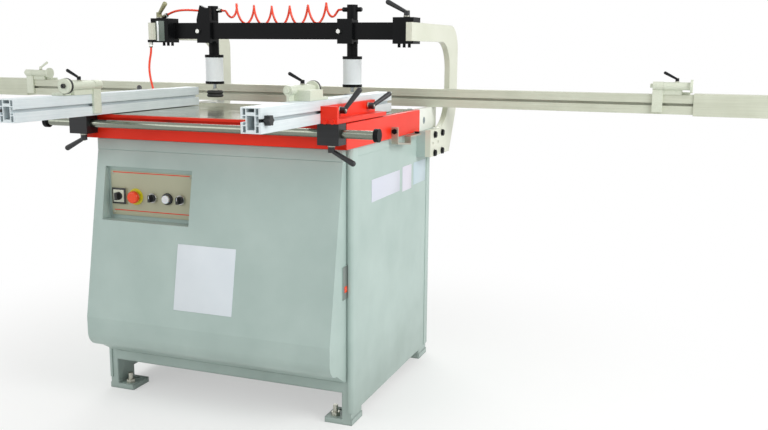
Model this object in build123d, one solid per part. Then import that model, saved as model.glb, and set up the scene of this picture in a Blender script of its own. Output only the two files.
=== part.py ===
from build123d import *
from math import cos, pi, radians, sin, sqrt, tan
import os

# Dowel boring machine, in millimetres.
# X runs along the back fence, +Y to the rear, +Z up, and the floor is at Z 0.
# The origin lies in the middle of the four anchor holes, on the floor.

os.makedirs("parts", exist_ok=True)

# Clearances
SEAT = 0.3
RUN_FIT = 0.05
SLOT_FIT = 1.0

# Cabinet
CABINET_WIDTH = 900
CABINET_DEPTH = 752
CABINET_TOP = 870
PANEL_LOW = 38
SHEET = 3
POST_WIDTH = 30
LEG_DEPTH = 88
FOOT_WIDTH = 92
FOOT_THICK = 18
RAIL_LOW = 105
RAIL_HEIGHT = 35
RAIL_THICK = 4
TOP_RAIL_HEIGHT = 40
REAR_COVER_TOP = 380
ANCHOR_INSET_X = 65
ANCHOR_INSET_Y = 68
ANCHOR_HOLE = 14
LEVEL_BOLT_INSET = 24
LEVEL_BOLT = 16
LEVEL_BOLT_HEIGHT = 52
LEVEL_NUT = 26
NUT_THICK = 12

# Front cover
COVER_MARGIN = 18
COVER_TOP_GAP = 5
COVER_TOP_OUT = 22
COVER_BELLY_OUT = 127
COVER_BELLY_HEIGHT = 105
COVER_BELLY_RADIUS = 51
COVER_RETURN = 42
COVER_LOW = 143
COVER_LOW_OUT = 10
COVER_TURN_OUT = 75
RECESS_INSET = 34
RECESS_WIDTH = 324
RECESS_DROP = 89
RECESS_HEIGHT = 171
RECESS_BACK_OUT = 21
PANEL_GAP_LEFT = 10
PANEL_GAP_RIGHT = 7
PANEL_GAP_LOW = 12
PANEL_GAP_TOP = 14
PANEL_THICK = 3
LATCH_LOW = 411
LATCH_HEIGHT = 103
LATCH_DEPTH = 34

# Switches on the control panel
SWITCH_UP = 63
MAIN_SWITCH_IN = 33
STOP_BUTTON_IN = 94
SELECTOR_IN = (159, 263)
PUSH_BUTTON_IN = 214
BEZEL = 30
BEZEL_THICK = 6
MAIN_PLATE = 52
SWITCH_SHAFT = 12
MAIN_KNOB = 26
MAIN_KNOB_THICK = 8
MAIN_GRIP = 10
STOP_HEAD = 40
STOP_HEAD_THICK = 14
STOP_TRAVEL = 5
SELECTOR_KNOB = 24
SELECTOR_KNOB_THICK = 8
SELECTOR_GRIP = 8
GRIP_HEIGHT = 12
PUSH_BEZEL = 36
PUSH_HEAD = 26
PUSH_HEAD_THICK = 6
PUSH_TRAVEL = 4

# Table
TABLE_OVERHANG = 11
TABLE_FRONT_OVER = 68
TABLE_DEPTH = 664
TABLE_FRAME_HEIGHT = 75
TABLE_PROUD = 1
TABLE_PLATE = 10
FRAME_PLATE = 20
FRONT_BAR_DEPTH = 30
FRONT_BAR_HEIGHT = 35
FRONT_WEB = 10
FRONT_LIP = 10
LEDGE = 10
PLATE_FIT = 0.5

# Guide rod and carriers
GUIDE_ROD = 25
GUIDE_ROD_OUT = 32
GUIDE_ROD_DROP = 26
GUIDE_ROD_REACH = 113
COLLAR = 38
COLLAR_LENGTH = 14
SUPPORT_INSET = 6
SUPPORT_MIDDLE = 145
SUPPORT_WIDTH = 18
SUPPORT_NECK = 14
BLOCK_INSET = 33
BLOCK_WIDTH = 66
BLOCK_FRONT = 26
BLOCK_REAR = 27
BLOCK_DROP = 32
FENCE_LIFT = 2
BRACKET_WALL = 12
BRACKET_WALL_HEIGHT = 49
BRACKET_FLANGE_WIDTH = 51
BRACKET_FLANGE = 12
BRACKET_LENGTH = 393
BRACKET_LEVER_IN = (102, 328)
BRACKET_LEVER_ANGLE = (60, 32)
BRACKET_BOLT_HEAD = 14
BRACKET_BOLT_HEAD_THICK = 5

# Fences
FENCE_WIDTH = 56
FENCE_HEIGHT = 65
FENCE_INSET = 111
SIDE_FENCE_OUT = 409
SIDE_FENCE_LENGTH = 931
FENCE_WALL = 9
SLOT_NECK = 9
SLOT_INNER = 22
SLOT_LIP = 6
SLOT_DEPTH = 8
BACK_FENCE_GAP = 136
BACK_FENCE_HALF = 1610
SLEEVE_WALL = 4
LEFT_SLEEVE_LENGTH = 222
RIGHT_SLEEVE_LENGTH = 240
END_KNOB_IN = 27
END_KNOB = 28
END_KNOB_THICK = 16
END_KNOB_LOBES = 6
END_KNOB_STUD = 8

# Clamp levers
LEVER_STUD = 8
LEVER_HUB = 20
LEVER_HUB_HEIGHT = 22
LEVER_LENGTH = 66
LEVER_ROOT = 12
LEVER_TIP = 17
LEVER_RISE = 34

# Arms and hold-down beam
ARM_STANDOFF = 33
ARM_THICK = 20
ARM_REACH = 221
ARM_RISE = 296
ARM_BAR_HEIGHT = 60
ARM_POST_DEPTH = 102
ARM_BEND_RISE = 80
ARM_FENCE_GAP = 29
ARM_CORNER = 90
ARM_INNER_CORNER = 100
ARM_THROAT = 130
ARM_FOOT_DEPTH = 157
ARM_FOOT_RISE = 4
ARM_FOOT_DROP = 91
ARM_FOOT_OVER = 76
ARM_PAD_INSET = 4
ARM_BOLT_IN = (48, 137)
ARM_BOLT_DOWN = (80, 14)
ARM_BOLT = 12
ARM_BOLT_HEAD = 20
ARM_BOLT_HEAD_THICK = 8
DOWEL_IN = (31, 92)
DOWEL_DOWN = 44
DOWEL = 10
BEAM_END = 52
BEAM_BACK = 58
BEAM_THICK = 28
BEAM_LIFT = 4
BEAM_HEIGHT = 57
END_BLOCK_DEPTH = 70
END_PLATE = 16
END_PLATE_LOW = 9
END_STUD = 10
END_STUD_LENGTH = 12
END_STUD_PITCH = 18
BEAM_LEVER_INSET = 17

# Hold-down heads
LEFT_HEAD_X = -301
RIGHT_HEAD_X = 248
HEAD_WIDTH = 54
HEAD_PLATE = 14
HEAD_STRAP = 8
HEAD_BELOW = 14
HEAD_ABOVE = 12
FIN_RISE = 49
FIN_LEAN = 14
FIN_STEP_IN = 35
FIN_STEP_DOWN = 9
HEAD_AXIS_BACK = 28
HEAD_TUBE = 37
HEAD_TUBE_RISE = 49
HEAD_BOLT = 14
HEAD_BOLT_THICK = 9
HEAD_BOLT_DOWN = 42
HEAD_TUBE_DROP = 42
CYLINDER_LENGTH = 106
CYLINDER_CAP = 10
BARREL = 64
CAP = 68
PISTON_ROD = 12
FOOT_PAD = 54
FOOT_PAD_DROP = 48
FOOT_PAD_THICK = 24
FITTING = 16
FITTING_HEIGHT = 14
ELBOW_RISE = 4
ELBOW_LEAN = 25
INLET_OUT = 28
INLET_Y = 66
INLET_DROP = 40

# Hoses
HOSE = 8
SPIRAL_RADIUS = 29
SPIRAL_TURNS = 7
SPIRAL_SAG = 20

# Tilt lock strap
STRAP_WIDTH = 22
STRAP_THICK = 6
STRAP_Y = (-66, -66, 63, 63, 172)
STRAP_RISE = (34, -16, -29, -5, -5)

# Boring unit
TRUNNION_BACK = 50
TRUNNION_RISE = 35
TRUNNION = 25
CRADLE_INSET = 49
CRADLE_PLATE = 12
CRADLE_RADIUS = 40
CRADLE_DROP = 465
CRADLE_FLOOR = 15
COLUMN_INSET = 50
COLUMN = 30
COLUMN_DROP = 15
GEAR_CASE_GAP = 24
GEAR_CASE_DROP = 175
GEAR_CASE_HEIGHT = 90
SPINDLE_PITCH = 32
SPINDLE_SHAFT = 12
CHUCK = 20
CHUCK_HEIGHT = 42
BIT = 8
BIT_RISE = 30
MOTOR = 150
MOTOR_LENGTH = 220
MOTOR_CAP = 26
FEED_X = 200
FEED_BARREL = 68
FEED_LENGTH = 160
FEED_ROD = 20

# Swing stops
STOP_SADDLE = 8
STOP_PIVOT_UP = 29
STOP_PIN = 10
STOP_EYE = 28
STOP_DISC = 44
STOP_LEVER_SIZE = 0.6
STOP_STRAP = 34
STOP_STRAP_THICK = 8
STOP_STRAP_GAP = 6
BACK_STOP_IN = (260, 338)
BACK_STOP_LENGTH = 85
LEFT_STOP_IN = 326
RIGHT_STOP_IN = 303
SIDE_STOP_LENGTH = 120

# Places worked out from the sizes above: cabinet and front cover
PANEL_OUT = CABINET_WIDTH / 2
PANEL_IN = PANEL_OUT - SHEET
POST_IN = PANEL_IN - POST_WIDTH
CABINET_REAR = CABINET_DEPTH / 2
CABINET_FRONT = -CABINET_REAR
ANCHOR_X = PANEL_OUT - ANCHOR_INSET_X
ANCHOR_Y = CABINET_REAR - ANCHOR_INSET_Y
LEVEL_BOLT_Y = CABINET_REAR - LEVEL_BOLT_INSET
COVER_HALF = PANEL_OUT - COVER_MARGIN
COVER_TOP = CABINET_TOP - COVER_TOP_GAP
COVER_FRONT_LOW = COVER_LOW + COVER_RETURN
COVER_BELLY_TOP = COVER_FRONT_LOW + COVER_BELLY_HEIGHT
RECESS_LEFT = RECESS_INSET - COVER_HALF
RECESS_RIGHT = RECESS_LEFT + RECESS_WIDTH
RECESS_HIGH = COVER_TOP - RECESS_DROP
RECESS_LOW = RECESS_HIGH - RECESS_HEIGHT
LATCH_HIGH = LATCH_LOW + LATCH_HEIGHT

# Control panel and its switches
PANEL_LEFT = RECESS_LEFT + PANEL_GAP_LEFT
PANEL_RIGHT = RECESS_RIGHT - PANEL_GAP_RIGHT
PANEL_BOTTOM = RECESS_LOW + PANEL_GAP_LOW
PANEL_TOP = RECESS_HIGH - PANEL_GAP_TOP
PANEL_FACE = CABINET_FRONT - RECESS_BACK_OUT - SHEET - PANEL_THICK
SWITCH_HEIGHT = PANEL_BOTTOM + SWITCH_UP
MAIN_SWITCH_X = PANEL_LEFT + MAIN_SWITCH_IN
STOP_BUTTON_X = PANEL_LEFT + STOP_BUTTON_IN
PUSH_BUTTON_X = PANEL_LEFT + PUSH_BUTTON_IN
SELECTOR_X = [PANEL_LEFT + distance for distance in SELECTOR_IN]

# Table, guide rod and fences
TABLE_HALF = PANEL_OUT + TABLE_OVERHANG
TABLE_FRONT = CABINET_FRONT - TABLE_FRONT_OVER
TABLE_REAR = TABLE_FRONT + TABLE_DEPTH
TABLE_FRAME_TOP = CABINET_TOP + TABLE_FRAME_HEIGHT
TABLE_TOP = TABLE_FRAME_TOP + TABLE_PROUD
FRAME_IN = TABLE_HALF - FRAME_PLATE
GUIDE_ROD_Y = TABLE_FRONT - GUIDE_ROD_OUT
GUIDE_ROD_Z = TABLE_FRAME_TOP - GUIDE_ROD_DROP
GUIDE_ROD_HALF = TABLE_HALF + GUIDE_ROD_REACH
SUPPORT_END = TABLE_HALF - SUPPORT_INSET
BLOCK_X = TABLE_HALF - BLOCK_INSET
BLOCK_LOW = GUIDE_ROD_Z - BLOCK_DROP
FENCE_LOW = TABLE_TOP + FENCE_LIFT
FENCE_TOP = FENCE_LOW + FENCE_HEIGHT
SIDE_FENCE_INNER = TABLE_HALF - FENCE_INSET
SIDE_FENCE_OUTER = SIDE_FENCE_INNER + FENCE_WIDTH
SIDE_FENCE_FRONT = TABLE_FRONT - SIDE_FENCE_OUT
SIDE_FENCE_REAR = SIDE_FENCE_FRONT + SIDE_FENCE_LENGTH
END_KNOB_Y = SIDE_FENCE_FRONT + END_KNOB_IN
BRACKET_IN = SIDE_FENCE_OUTER + SEAT
BRACKET_FRONT = GUIDE_ROD_Y - BLOCK_FRONT
BRACKET_REAR = BRACKET_FRONT + BRACKET_LENGTH
BRACKET_LEVER_Y = [BRACKET_FRONT + distance for distance in BRACKET_LEVER_IN]
LEVER_HEIGHT = FENCE_LOW + FENCE_HEIGHT / 2
BACK_FENCE_FRONT = TABLE_REAR + BACK_FENCE_GAP
BACK_FENCE_REAR = BACK_FENCE_FRONT + FENCE_WIDTH

# Arms, beam and hold-down heads
ARM_INNER = PANEL_OUT + ARM_STANDOFF
ARM_OUTER = ARM_INNER + ARM_THICK
ARM_MIDDLE = (ARM_INNER + ARM_OUTER) / 2
ARM_FOOT_FRONT = CABINET_REAR - ARM_FOOT_DEPTH
ARM_FOOT_REAR = CABINET_REAR + ARM_FOOT_OVER
ARM_FOOT_TOP = CABINET_TOP + ARM_FOOT_RISE
ARM_FOOT_LOW = CABINET_TOP - ARM_FOOT_DROP
ARM_PAD_REAR = CABINET_REAR - ARM_PAD_INSET
ARM_FRONT = ARM_FOOT_FRONT - ARM_REACH
ARM_TOP = TABLE_TOP + ARM_RISE
ARM_BAR_LOW = ARM_TOP - ARM_BAR_HEIGHT
ARM_INNER_REAR = BACK_FENCE_REAR + ARM_FENCE_GAP
ARM_REAR = ARM_INNER_REAR + ARM_POST_DEPTH
ARM_BEND_Z = CABINET_TOP + ARM_BEND_RISE
ARM_BOLT_Y = [ARM_FOOT_FRONT + distance for distance in ARM_BOLT_IN]
ARM_BOLT_Z = [CABINET_TOP - distance for distance in ARM_BOLT_DOWN]
DOWEL_Y = [ARM_FOOT_FRONT + distance for distance in DOWEL_IN]
DOWEL_Z = CABINET_TOP - DOWEL_DOWN
INLET_Z = CABINET_TOP - INLET_DROP
BEAM_HALF = ARM_INNER - BEAM_END
BEAM_FRONT = ARM_FRONT + BEAM_BACK
BEAM_REAR = BEAM_FRONT + BEAM_THICK
BEAM_LOW = ARM_BAR_LOW + BEAM_LIFT
BEAM_TOP = BEAM_LOW + BEAM_HEIGHT
BEAM_MIDDLE = BEAM_FRONT + BEAM_THICK / 2
BEAM_LEVER_X = ARM_INNER - BEAM_LEVER_INSET
HEAD_AXIS = BEAM_REAR + HEAD_AXIS_BACK
HEAD_LOW = BEAM_LOW - HEAD_BELOW
HEAD_TOP = BEAM_TOP + HEAD_ABOVE
FIN_TOP = HEAD_TOP + FIN_RISE
HEAD_TUBE_TOP = HEAD_TOP + HEAD_TUBE_RISE
CYLINDER_TOP = HEAD_LOW - HEAD_TUBE_DROP
CYLINDER_LOW = CYLINDER_TOP - CYLINDER_LENGTH
FOOT_PAD_LOW = CYLINDER_LOW - FOOT_PAD_DROP

# Boring unit and stops
TRUNNION_Y = TABLE_REAR + TRUNNION_BACK
TRUNNION_Z = CABINET_TOP + TRUNNION_RISE
CRADLE_HALF = TABLE_HALF - CRADLE_INSET
CRADLE_LOW = TRUNNION_Z - CRADLE_DROP
COLUMN_X = CRADLE_HALF - COLUMN_INSET
COLUMN_TOP = TRUNNION_Z - COLUMN_DROP
GEAR_CASE_HALF = CRADLE_HALF - GEAR_CASE_GAP
GEAR_CASE_LOW = TRUNNION_Z - GEAR_CASE_DROP
BIT_TOP = TRUNNION_Z + BIT_RISE
SPINDLES_A_SIDE = int((COLUMN_X - COLUMN / 2 - CHUCK / 2) / SPINDLE_PITCH)
SPINDLE_COUNT = 2 * SPINDLES_A_SIDE + 1
STOP_STRAP_LOW = FENCE_LOW + STOP_STRAP_GAP
BACK_STOP_X = (BACK_STOP_IN[0] - BACK_FENCE_HALF, BACK_FENCE_HALF - BACK_STOP_IN[1])
LEFT_STOP_Y = SIDE_FENCE_FRONT + LEFT_STOP_IN
RIGHT_STOP_Y = SIDE_FENCE_FRONT + RIGHT_STOP_IN
SIDES = {"left": -1, "right": 1}


def block(x, y, z):
    """A rectangular block between (low, high) limits on each axis."""
    limits = (x, y, z)
    middle = [(low + high) / 2 for low, high in limits]
    size = [abs(high - low) for low, high in limits]
    return Pos(*middle) * Box(*size)


def round_bar(start, end, diameter):
    """A round bar between two points."""
    line = Vector(*end) - Vector(*start)
    seat = Plane(origin=start, z_dir=line)
    return seat * Cylinder(diameter / 2, line.length, align=(Align.CENTER, Align.CENTER, Align.MIN))


def hex_bar(start, end, across):
    """A hexagonal bar, such as a nut or a bolt head, between two points."""
    line = Vector(*end) - Vector(*start)
    seat = Plane(origin=start, z_dir=line)
    return extrude(seat * RegularPolygon(across / 2, 6, major_radius=False), line.length)


def upright_plate(outline, x):
    """A plate with the given outline in Y and Z, between two X limits."""
    face = Plane.YZ.offset(min(x)) * make_face(outline)
    return extrude(face, max(x) - min(x), dir=(1, 0, 0))


def to_side(piece, side):
    """The piece, drawn on the right-hand side, moved to its own side."""
    if side > 0:
        return piece
    return mirror(piece, about=Plane.YZ)


def save(name, *pieces):
    """Write the solids of one node to its own file."""
    solids = [solid for piece in pieces for solid in piece.solids()]
    export_step(Compound(label=name, children=solids), f"parts/{name}.step")


# Base frame: four legs on foot plates, with rails between them
def make_base_frame():
    frame = None
    for side_x in (-1, 1):
        for side_y in (-1, 1):
            rear = side_y * CABINET_REAR
            inner = side_y * (CABINET_REAR - LEG_DEPTH)
            leg = block((side_x * POST_IN, side_x * PANEL_IN), (inner, rear), (FOOT_THICK, CABINET_TOP))
            foot_in = side_x * (PANEL_OUT - FOOT_WIDTH)
            foot = block((foot_in, side_x * PANEL_OUT), (inner, rear), (0, FOOT_THICK))
            anchor = (side_x * ANCHOR_X, side_y * ANCHOR_Y)
            foot -= round_bar((*anchor, 0), (*anchor, FOOT_THICK), ANCHOR_HOLE)
            level = (side_x * ANCHOR_X, side_y * LEVEL_BOLT_Y)
            foot -= round_bar((*level, 0), (*level, FOOT_THICK), LEVEL_BOLT)
            frame = leg + foot if frame is None else frame + leg + foot
        rail_x = (side_x * (PANEL_IN - RAIL_THICK), side_x * PANEL_IN)
        leg_gap = (CABINET_FRONT + LEG_DEPTH, CABINET_REAR - LEG_DEPTH)
        frame += block(rail_x, leg_gap, (RAIL_LOW, RAIL_LOW + RAIL_HEIGHT))
        top_x = (side_x * POST_IN, side_x * PANEL_IN)
        frame += block(top_x, leg_gap, (CABINET_TOP - TOP_RAIL_HEIGHT, CABINET_TOP))
    for side_y in (-1, 1):
        rail_y = (side_y * (CABINET_REAR - RAIL_THICK), side_y * CABINET_REAR)
        frame += block((-POST_IN, POST_IN), rail_y, (RAIL_LOW, RAIL_LOW + RAIL_HEIGHT))
    front_y = (CABINET_FRONT, CABINET_FRONT + RAIL_THICK)
    frame += block((-POST_IN, POST_IN), front_y, (CABINET_TOP - TOP_RAIL_HEIGHT, CABINET_TOP))
    return frame


save("base_frame", make_base_frame())


# Levelling bolts in the feet and the bolts that hold the arms
def make_fixing_bolts():
    bolts = []
    for side_x in (-1, 1):
        for side_y in (-1, 1):
            place = (side_x * ANCHOR_X, side_y * LEVEL_BOLT_Y)
            bolt = round_bar((*place, 0), (*place, LEVEL_BOLT_HEIGHT), LEVEL_BOLT)
            bolts.append(bolt + hex_bar((*place, FOOT_THICK), (*place, FOOT_THICK + NUT_THICK), LEVEL_NUT))
        for y in ARM_BOLT_Y:
            for z in ARM_BOLT_Z:
                shank = round_bar((side_x * PANEL_OUT, y, z), (side_x * ARM_OUTER, y, z), ARM_BOLT)
                head_end = side_x * (ARM_OUTER + ARM_BOLT_HEAD_THICK)
                bolts.append(shank + hex_bar((side_x * ARM_OUTER, y, z), (head_end, y, z), ARM_BOLT_HEAD))
    return bolts


save("fixing_bolts", *make_fixing_bolts())


# Side panels of sheet, each with the thick pad that its arm is bolted to
def make_side_panel(side):
    panel = block((PANEL_IN, PANEL_OUT), (CABINET_FRONT, CABINET_REAR), (PANEL_LOW, CABINET_TOP))
    pad_z = (ARM_FOOT_LOW, CABINET_TOP)
    panel += block((PANEL_OUT, ARM_INNER), (ARM_FOOT_FRONT, ARM_PAD_REAR), pad_z)
    for y in ARM_BOLT_Y:
        for z in ARM_BOLT_Z:
            panel -= round_bar((PANEL_OUT, y, z), (ARM_INNER, y, z), ARM_BOLT)
    for y in DOWEL_Y:
        panel -= round_bar((ARM_INNER - ARM_THICK / 2, y, DOWEL_Z), (ARM_INNER, y, DOWEL_Z), DOWEL)
    if side < 0:
        elbow = (PANEL_OUT + INLET_OUT, INLET_Y)
        panel += round_bar((PANEL_OUT, INLET_Y, INLET_Z), (*elbow, INLET_Z), FITTING)
        panel += round_bar((*elbow, INLET_Z - FITTING / 2), (*elbow, INLET_Z + FITTING), FITTING)
    return to_side(panel, side)


for name, side in SIDES.items():
    save(f"{name}_side_panel", make_side_panel(side))

rear_sheet = (CABINET_REAR, CABINET_REAR + SHEET)
save("rear_cover", block((-PANEL_OUT, PANEL_OUT), rear_sheet, (PANEL_LOW, REAR_COVER_TOP)))


# Sloping front cover: a folded sheet shell, open to the cabinet, with a recess for the switches
def cover_solid(wall):
    """The space inside the cover's outer faces, drawn in by a wall thickness."""
    back = CABINET_FRONT + wall
    slope_low = (CABINET_FRONT - COVER_BELLY_OUT + wall, COVER_BELLY_TOP)
    slope_high = (CABINET_FRONT - COVER_TOP_OUT + wall, COVER_TOP - wall)
    belly = (CABINET_FRONT - COVER_BELLY_OUT + wall, COVER_FRONT_LOW + wall)
    turn = (CABINET_FRONT - COVER_TURN_OUT, COVER_FRONT_LOW + wall)
    low = (CABINET_FRONT - COVER_LOW_OUT, COVER_LOW + wall)
    corners = [(back, COVER_TOP - wall), slope_high, slope_low, belly, turn, low, (back, COVER_LOW + wall)]
    rounding = [0, 0, 0, COVER_BELLY_RADIUS - wall, 0, 0, 0]
    outline = FilletPolyline(*corners, radius=rounding, close=True)
    return upright_plate(outline, (-COVER_HALF + wall, COVER_HALF - wall))


def make_front_cover():
    whole = cover_solid(0)
    cover = whole - cover_solid(SHEET)
    recess_back = CABINET_FRONT - RECESS_BACK_OUT
    recess_front = CABINET_FRONT - COVER_BELLY_OUT
    frame_x = (RECESS_LEFT - SHEET, RECESS_RIGHT + SHEET)
    frame_z = (RECESS_LOW - SHEET, RECESS_HIGH + SHEET)
    recess_y = (recess_front, recess_back - SHEET)
    recess = block((RECESS_LEFT, RECESS_RIGHT), recess_y, (RECESS_LOW, RECESS_HIGH))
    cover += block(frame_x, (recess_front, recess_back), frame_z) & whole
    cover -= recess
    latch_x = (COVER_HALF, COVER_HALF + SHEET)
    cover += block(latch_x, (CABINET_FRONT - LATCH_DEPTH, CABINET_FRONT), (LATCH_LOW, LATCH_HIGH))
    return cover


save("front_cover", make_front_cover())


# Control panel plate with the fixed collars of its switches
def switch_seat(x):
    """The point on the panel's face where a switch is set."""
    return (x, PANEL_FACE, SWITCH_HEIGHT)


def forward(point, distance):
    """The point moved to the front by a distance."""
    return (point[0], point[1] - distance, point[2])


def make_control_panel():
    seat_back = PANEL_FACE + PANEL_THICK
    panel = block((PANEL_LEFT, PANEL_RIGHT), (PANEL_FACE, seat_back), (PANEL_BOTTOM, PANEL_TOP))
    half_plate = MAIN_PLATE / 2
    plate_z = (SWITCH_HEIGHT - half_plate, SWITCH_HEIGHT + half_plate)
    plate_left = max(PANEL_LEFT, MAIN_SWITCH_X - half_plate)
    panel += block((plate_left, MAIN_SWITCH_X + half_plate), (PANEL_FACE - BEZEL_THICK, PANEL_FACE), plate_z)
    bezels = {STOP_BUTTON_X: BEZEL, PUSH_BUTTON_X: PUSH_BEZEL, SELECTOR_X[0]: BEZEL, SELECTOR_X[1]: BEZEL}
    for x, diameter in bezels.items():
        seat = switch_seat(x)
        panel += round_bar(seat, forward(seat, BEZEL_THICK), diameter)
    for x in (*bezels, MAIN_SWITCH_X):
        seat = switch_seat(x)
        panel -= round_bar(seat, forward(seat, BEZEL_THICK), SWITCH_SHAFT + 2 * RUN_FIT)
    return panel


save("control_panel", make_control_panel())


def switch_head(x, gap, diameter, thick, shaft_in):
    """A round head in front of its collar, with its shaft running in the collar."""
    seat = switch_seat(x)
    face = forward(seat, BEZEL_THICK + gap)
    head = round_bar(face, forward(face, thick), diameter)
    return head + round_bar(forward(seat, BEZEL_THICK - shaft_in), face, SWITCH_SHAFT)


def grip_bar(x, diameter, thick, width):
    """The upright finger bar on the front of a turning knob."""
    front = PANEL_FACE - BEZEL_THICK - SEAT - thick
    half = diameter / 2 - 1
    bar_z = (SWITCH_HEIGHT - half, SWITCH_HEIGHT + half)
    return block((x - width / 2, x + width / 2), (front - GRIP_HEIGHT, front), bar_z)


shaft_in = BEZEL_THICK - SEAT
main_knob = switch_head(MAIN_SWITCH_X, SEAT, MAIN_KNOB, MAIN_KNOB_THICK, shaft_in)
save("main_switch_knob", main_knob + grip_bar(MAIN_SWITCH_X, MAIN_KNOB, MAIN_KNOB_THICK, MAIN_GRIP))
for number, x in enumerate(SELECTOR_X, start=1):
    selector = switch_head(x, SEAT, SELECTOR_KNOB, SELECTOR_KNOB_THICK, shaft_in)
    save(f"selector_{number}", selector + grip_bar(x, SELECTOR_KNOB, SELECTOR_KNOB_THICK, SELECTOR_GRIP))
stop_in = BEZEL_THICK - STOP_TRAVEL - SEAT
stop_head = switch_head(STOP_BUTTON_X, STOP_TRAVEL + SEAT, STOP_HEAD, STOP_HEAD_THICK, stop_in)
rim = stop_head.faces().sort_by(Axis.Y)[0].edges()
save("stop_button", fillet(rim, STOP_HEAD_THICK / 2))
push_in = BEZEL_THICK - PUSH_TRAVEL - SEAT
save("push_button", switch_head(PUSH_BUTTON_X, PUSH_TRAVEL + SEAT, PUSH_HEAD, PUSH_HEAD_THICK, push_in))


# Table frame: full-height side plates, an open channel along the front and a rear bar
def make_table_frame():
    plate_low = TABLE_TOP - TABLE_PLATE
    frame = None
    for side in (-1, 1):
        plate_x = (side * FRAME_IN, side * TABLE_HALF)
        plate = block(plate_x, (TABLE_FRONT, TABLE_REAR), (CABINET_TOP, TABLE_FRAME_TOP))
        ledge_x = (side * (FRAME_IN - LEDGE), side * FRAME_IN)
        ledge_y = (TABLE_FRONT + FRONT_BAR_DEPTH, TABLE_REAR)
        plate += block(ledge_x, ledge_y, (plate_low - LEDGE, plate_low))
        frame = plate if frame is None else frame + plate
    across = (-FRAME_IN, FRAME_IN)
    bar_rear = TABLE_FRONT + FRONT_BAR_DEPTH
    bar_top = CABINET_TOP + FRONT_BAR_HEIGHT
    frame += block(across, (TABLE_FRONT, bar_rear), (CABINET_TOP, bar_top))
    frame += block(across, (bar_rear - FRONT_WEB, bar_rear), (bar_top, plate_low))
    frame += block(across, (TABLE_FRONT, TABLE_FRONT + FRONT_LIP), (plate_low, TABLE_FRAME_TOP))
    frame += block(across, (TABLE_REAR - FRONT_WEB, TABLE_REAR), (CABINET_TOP, plate_low))
    return frame


save("table_frame", make_table_frame())
plate_x = (-FRAME_IN + PLATE_FIT, FRAME_IN - PLATE_FIT)
plate_y = (TABLE_FRONT + FRONT_LIP, TABLE_REAR)
save("table_plate", block(plate_x, plate_y, (TABLE_TOP - TABLE_PLATE, TABLE_TOP)))


# Guide rod in front of the table, with its end collars and the supports in the channel
def make_guide_rod():
    axis = (GUIDE_ROD_Y, GUIDE_ROD_Z)
    rod = round_bar((-GUIDE_ROD_HALF, *axis), (GUIDE_ROD_HALF, *axis), GUIDE_ROD)
    for side in (-1, 1):
        collar_in = side * (GUIDE_ROD_HALF - COLLAR_LENGTH)
        rod += round_bar((collar_in, *axis), (side * GUIDE_ROD_HALF, *axis), COLLAR)
    web_face = TABLE_FRONT + FRONT_BAR_DEPTH - FRONT_WEB
    neck_z = (GUIDE_ROD_Z - SUPPORT_NECK / 2, GUIDE_ROD_Z + SUPPORT_NECK / 2)
    for x in (-SUPPORT_END, -SUPPORT_MIDDLE, SUPPORT_MIDDLE, SUPPORT_END):
        support_x = (x - SUPPORT_WIDTH / 2, x + SUPPORT_WIDTH / 2)
        reach = web_face if abs(x) + SUPPORT_WIDTH / 2 < FRAME_IN else TABLE_FRONT
        rod += block(support_x, (GUIDE_ROD_Y, reach), neck_z)
    return rod


save("guide_rod", make_guide_rod())


# Clamp lever: a threaded stud, a hub and a tapered handle with a ball end
def clamp_lever(seat, stud_length, size=1):
    """A lever on its seat plane: the stud goes down, the handle runs along the plane's X and rises."""
    line = Vector(LEVER_LENGTH, 0, LEVER_RISE) * size
    hub_height = size * LEVER_HUB_HEIGHT
    radii = (size * LEVER_ROOT / 2, size * LEVER_TIP / 2)
    root = Vector(0, 0, hub_height - radii[0])
    lever = round_bar((0, 0, 0), (0, 0, hub_height), size * LEVER_HUB)
    taper = Cone(*radii, line.length, align=(Align.CENTER, Align.CENTER, Align.MIN))
    lever += Plane(origin=root, z_dir=line) * taper
    lever += Pos(*(root + line)) * Sphere(radii[1])
    if stud_length > 0:
        lever += round_bar((0, 0, -stud_length), (0, 0, 0), LEVER_STUD)
    return seat * lever


# Slide blocks that run along the guide rod, each clamped to it from below
block_top = FENCE_LOW
block_low_seat = BLOCK_LOW - SEAT


def make_slide_block(side):
    half = BLOCK_WIDTH / 2
    block_y = (GUIDE_ROD_Y - BLOCK_FRONT, GUIDE_ROD_Y + BLOCK_REAR)
    slide = block((BLOCK_X - half, BLOCK_X + half), block_y, (BLOCK_LOW, block_top))
    axis = (GUIDE_ROD_Y, GUIDE_ROD_Z)
    slide -= round_bar((BLOCK_X - half, *axis), (BLOCK_X + half, *axis), GUIDE_ROD + 2 * RUN_FIT)
    slot_half = SUPPORT_NECK / 2 + SLOT_FIT
    slot_z = (GUIDE_ROD_Z - slot_half, GUIDE_ROD_Z + slot_half)
    slide -= block((BLOCK_X - half, BLOCK_X + half), (GUIDE_ROD_Y, block_y[1]), slot_z)
    stud_hole = (BLOCK_X, GUIDE_ROD_Y)
    slide -= round_bar((*stud_hole, BLOCK_LOW), (*stud_hole, GUIDE_ROD_Z), LEVER_STUD + 2 * RUN_FIT)
    return to_side(slide, side)


def make_block_lever(side):
    seat = Plane(origin=(BLOCK_X, GUIDE_ROD_Y, block_low_seat), x_dir=(1, 0, 0), z_dir=(0, 0, -1))
    stud_length = GUIDE_ROD_Z - GUIDE_ROD / 2 - SLOT_FIT - block_low_seat
    return to_side(clamp_lever(seat, stud_length), side)


# Red brackets that carry the side fences over the table
bracket_out = BRACKET_IN + BRACKET_WALL


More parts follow.
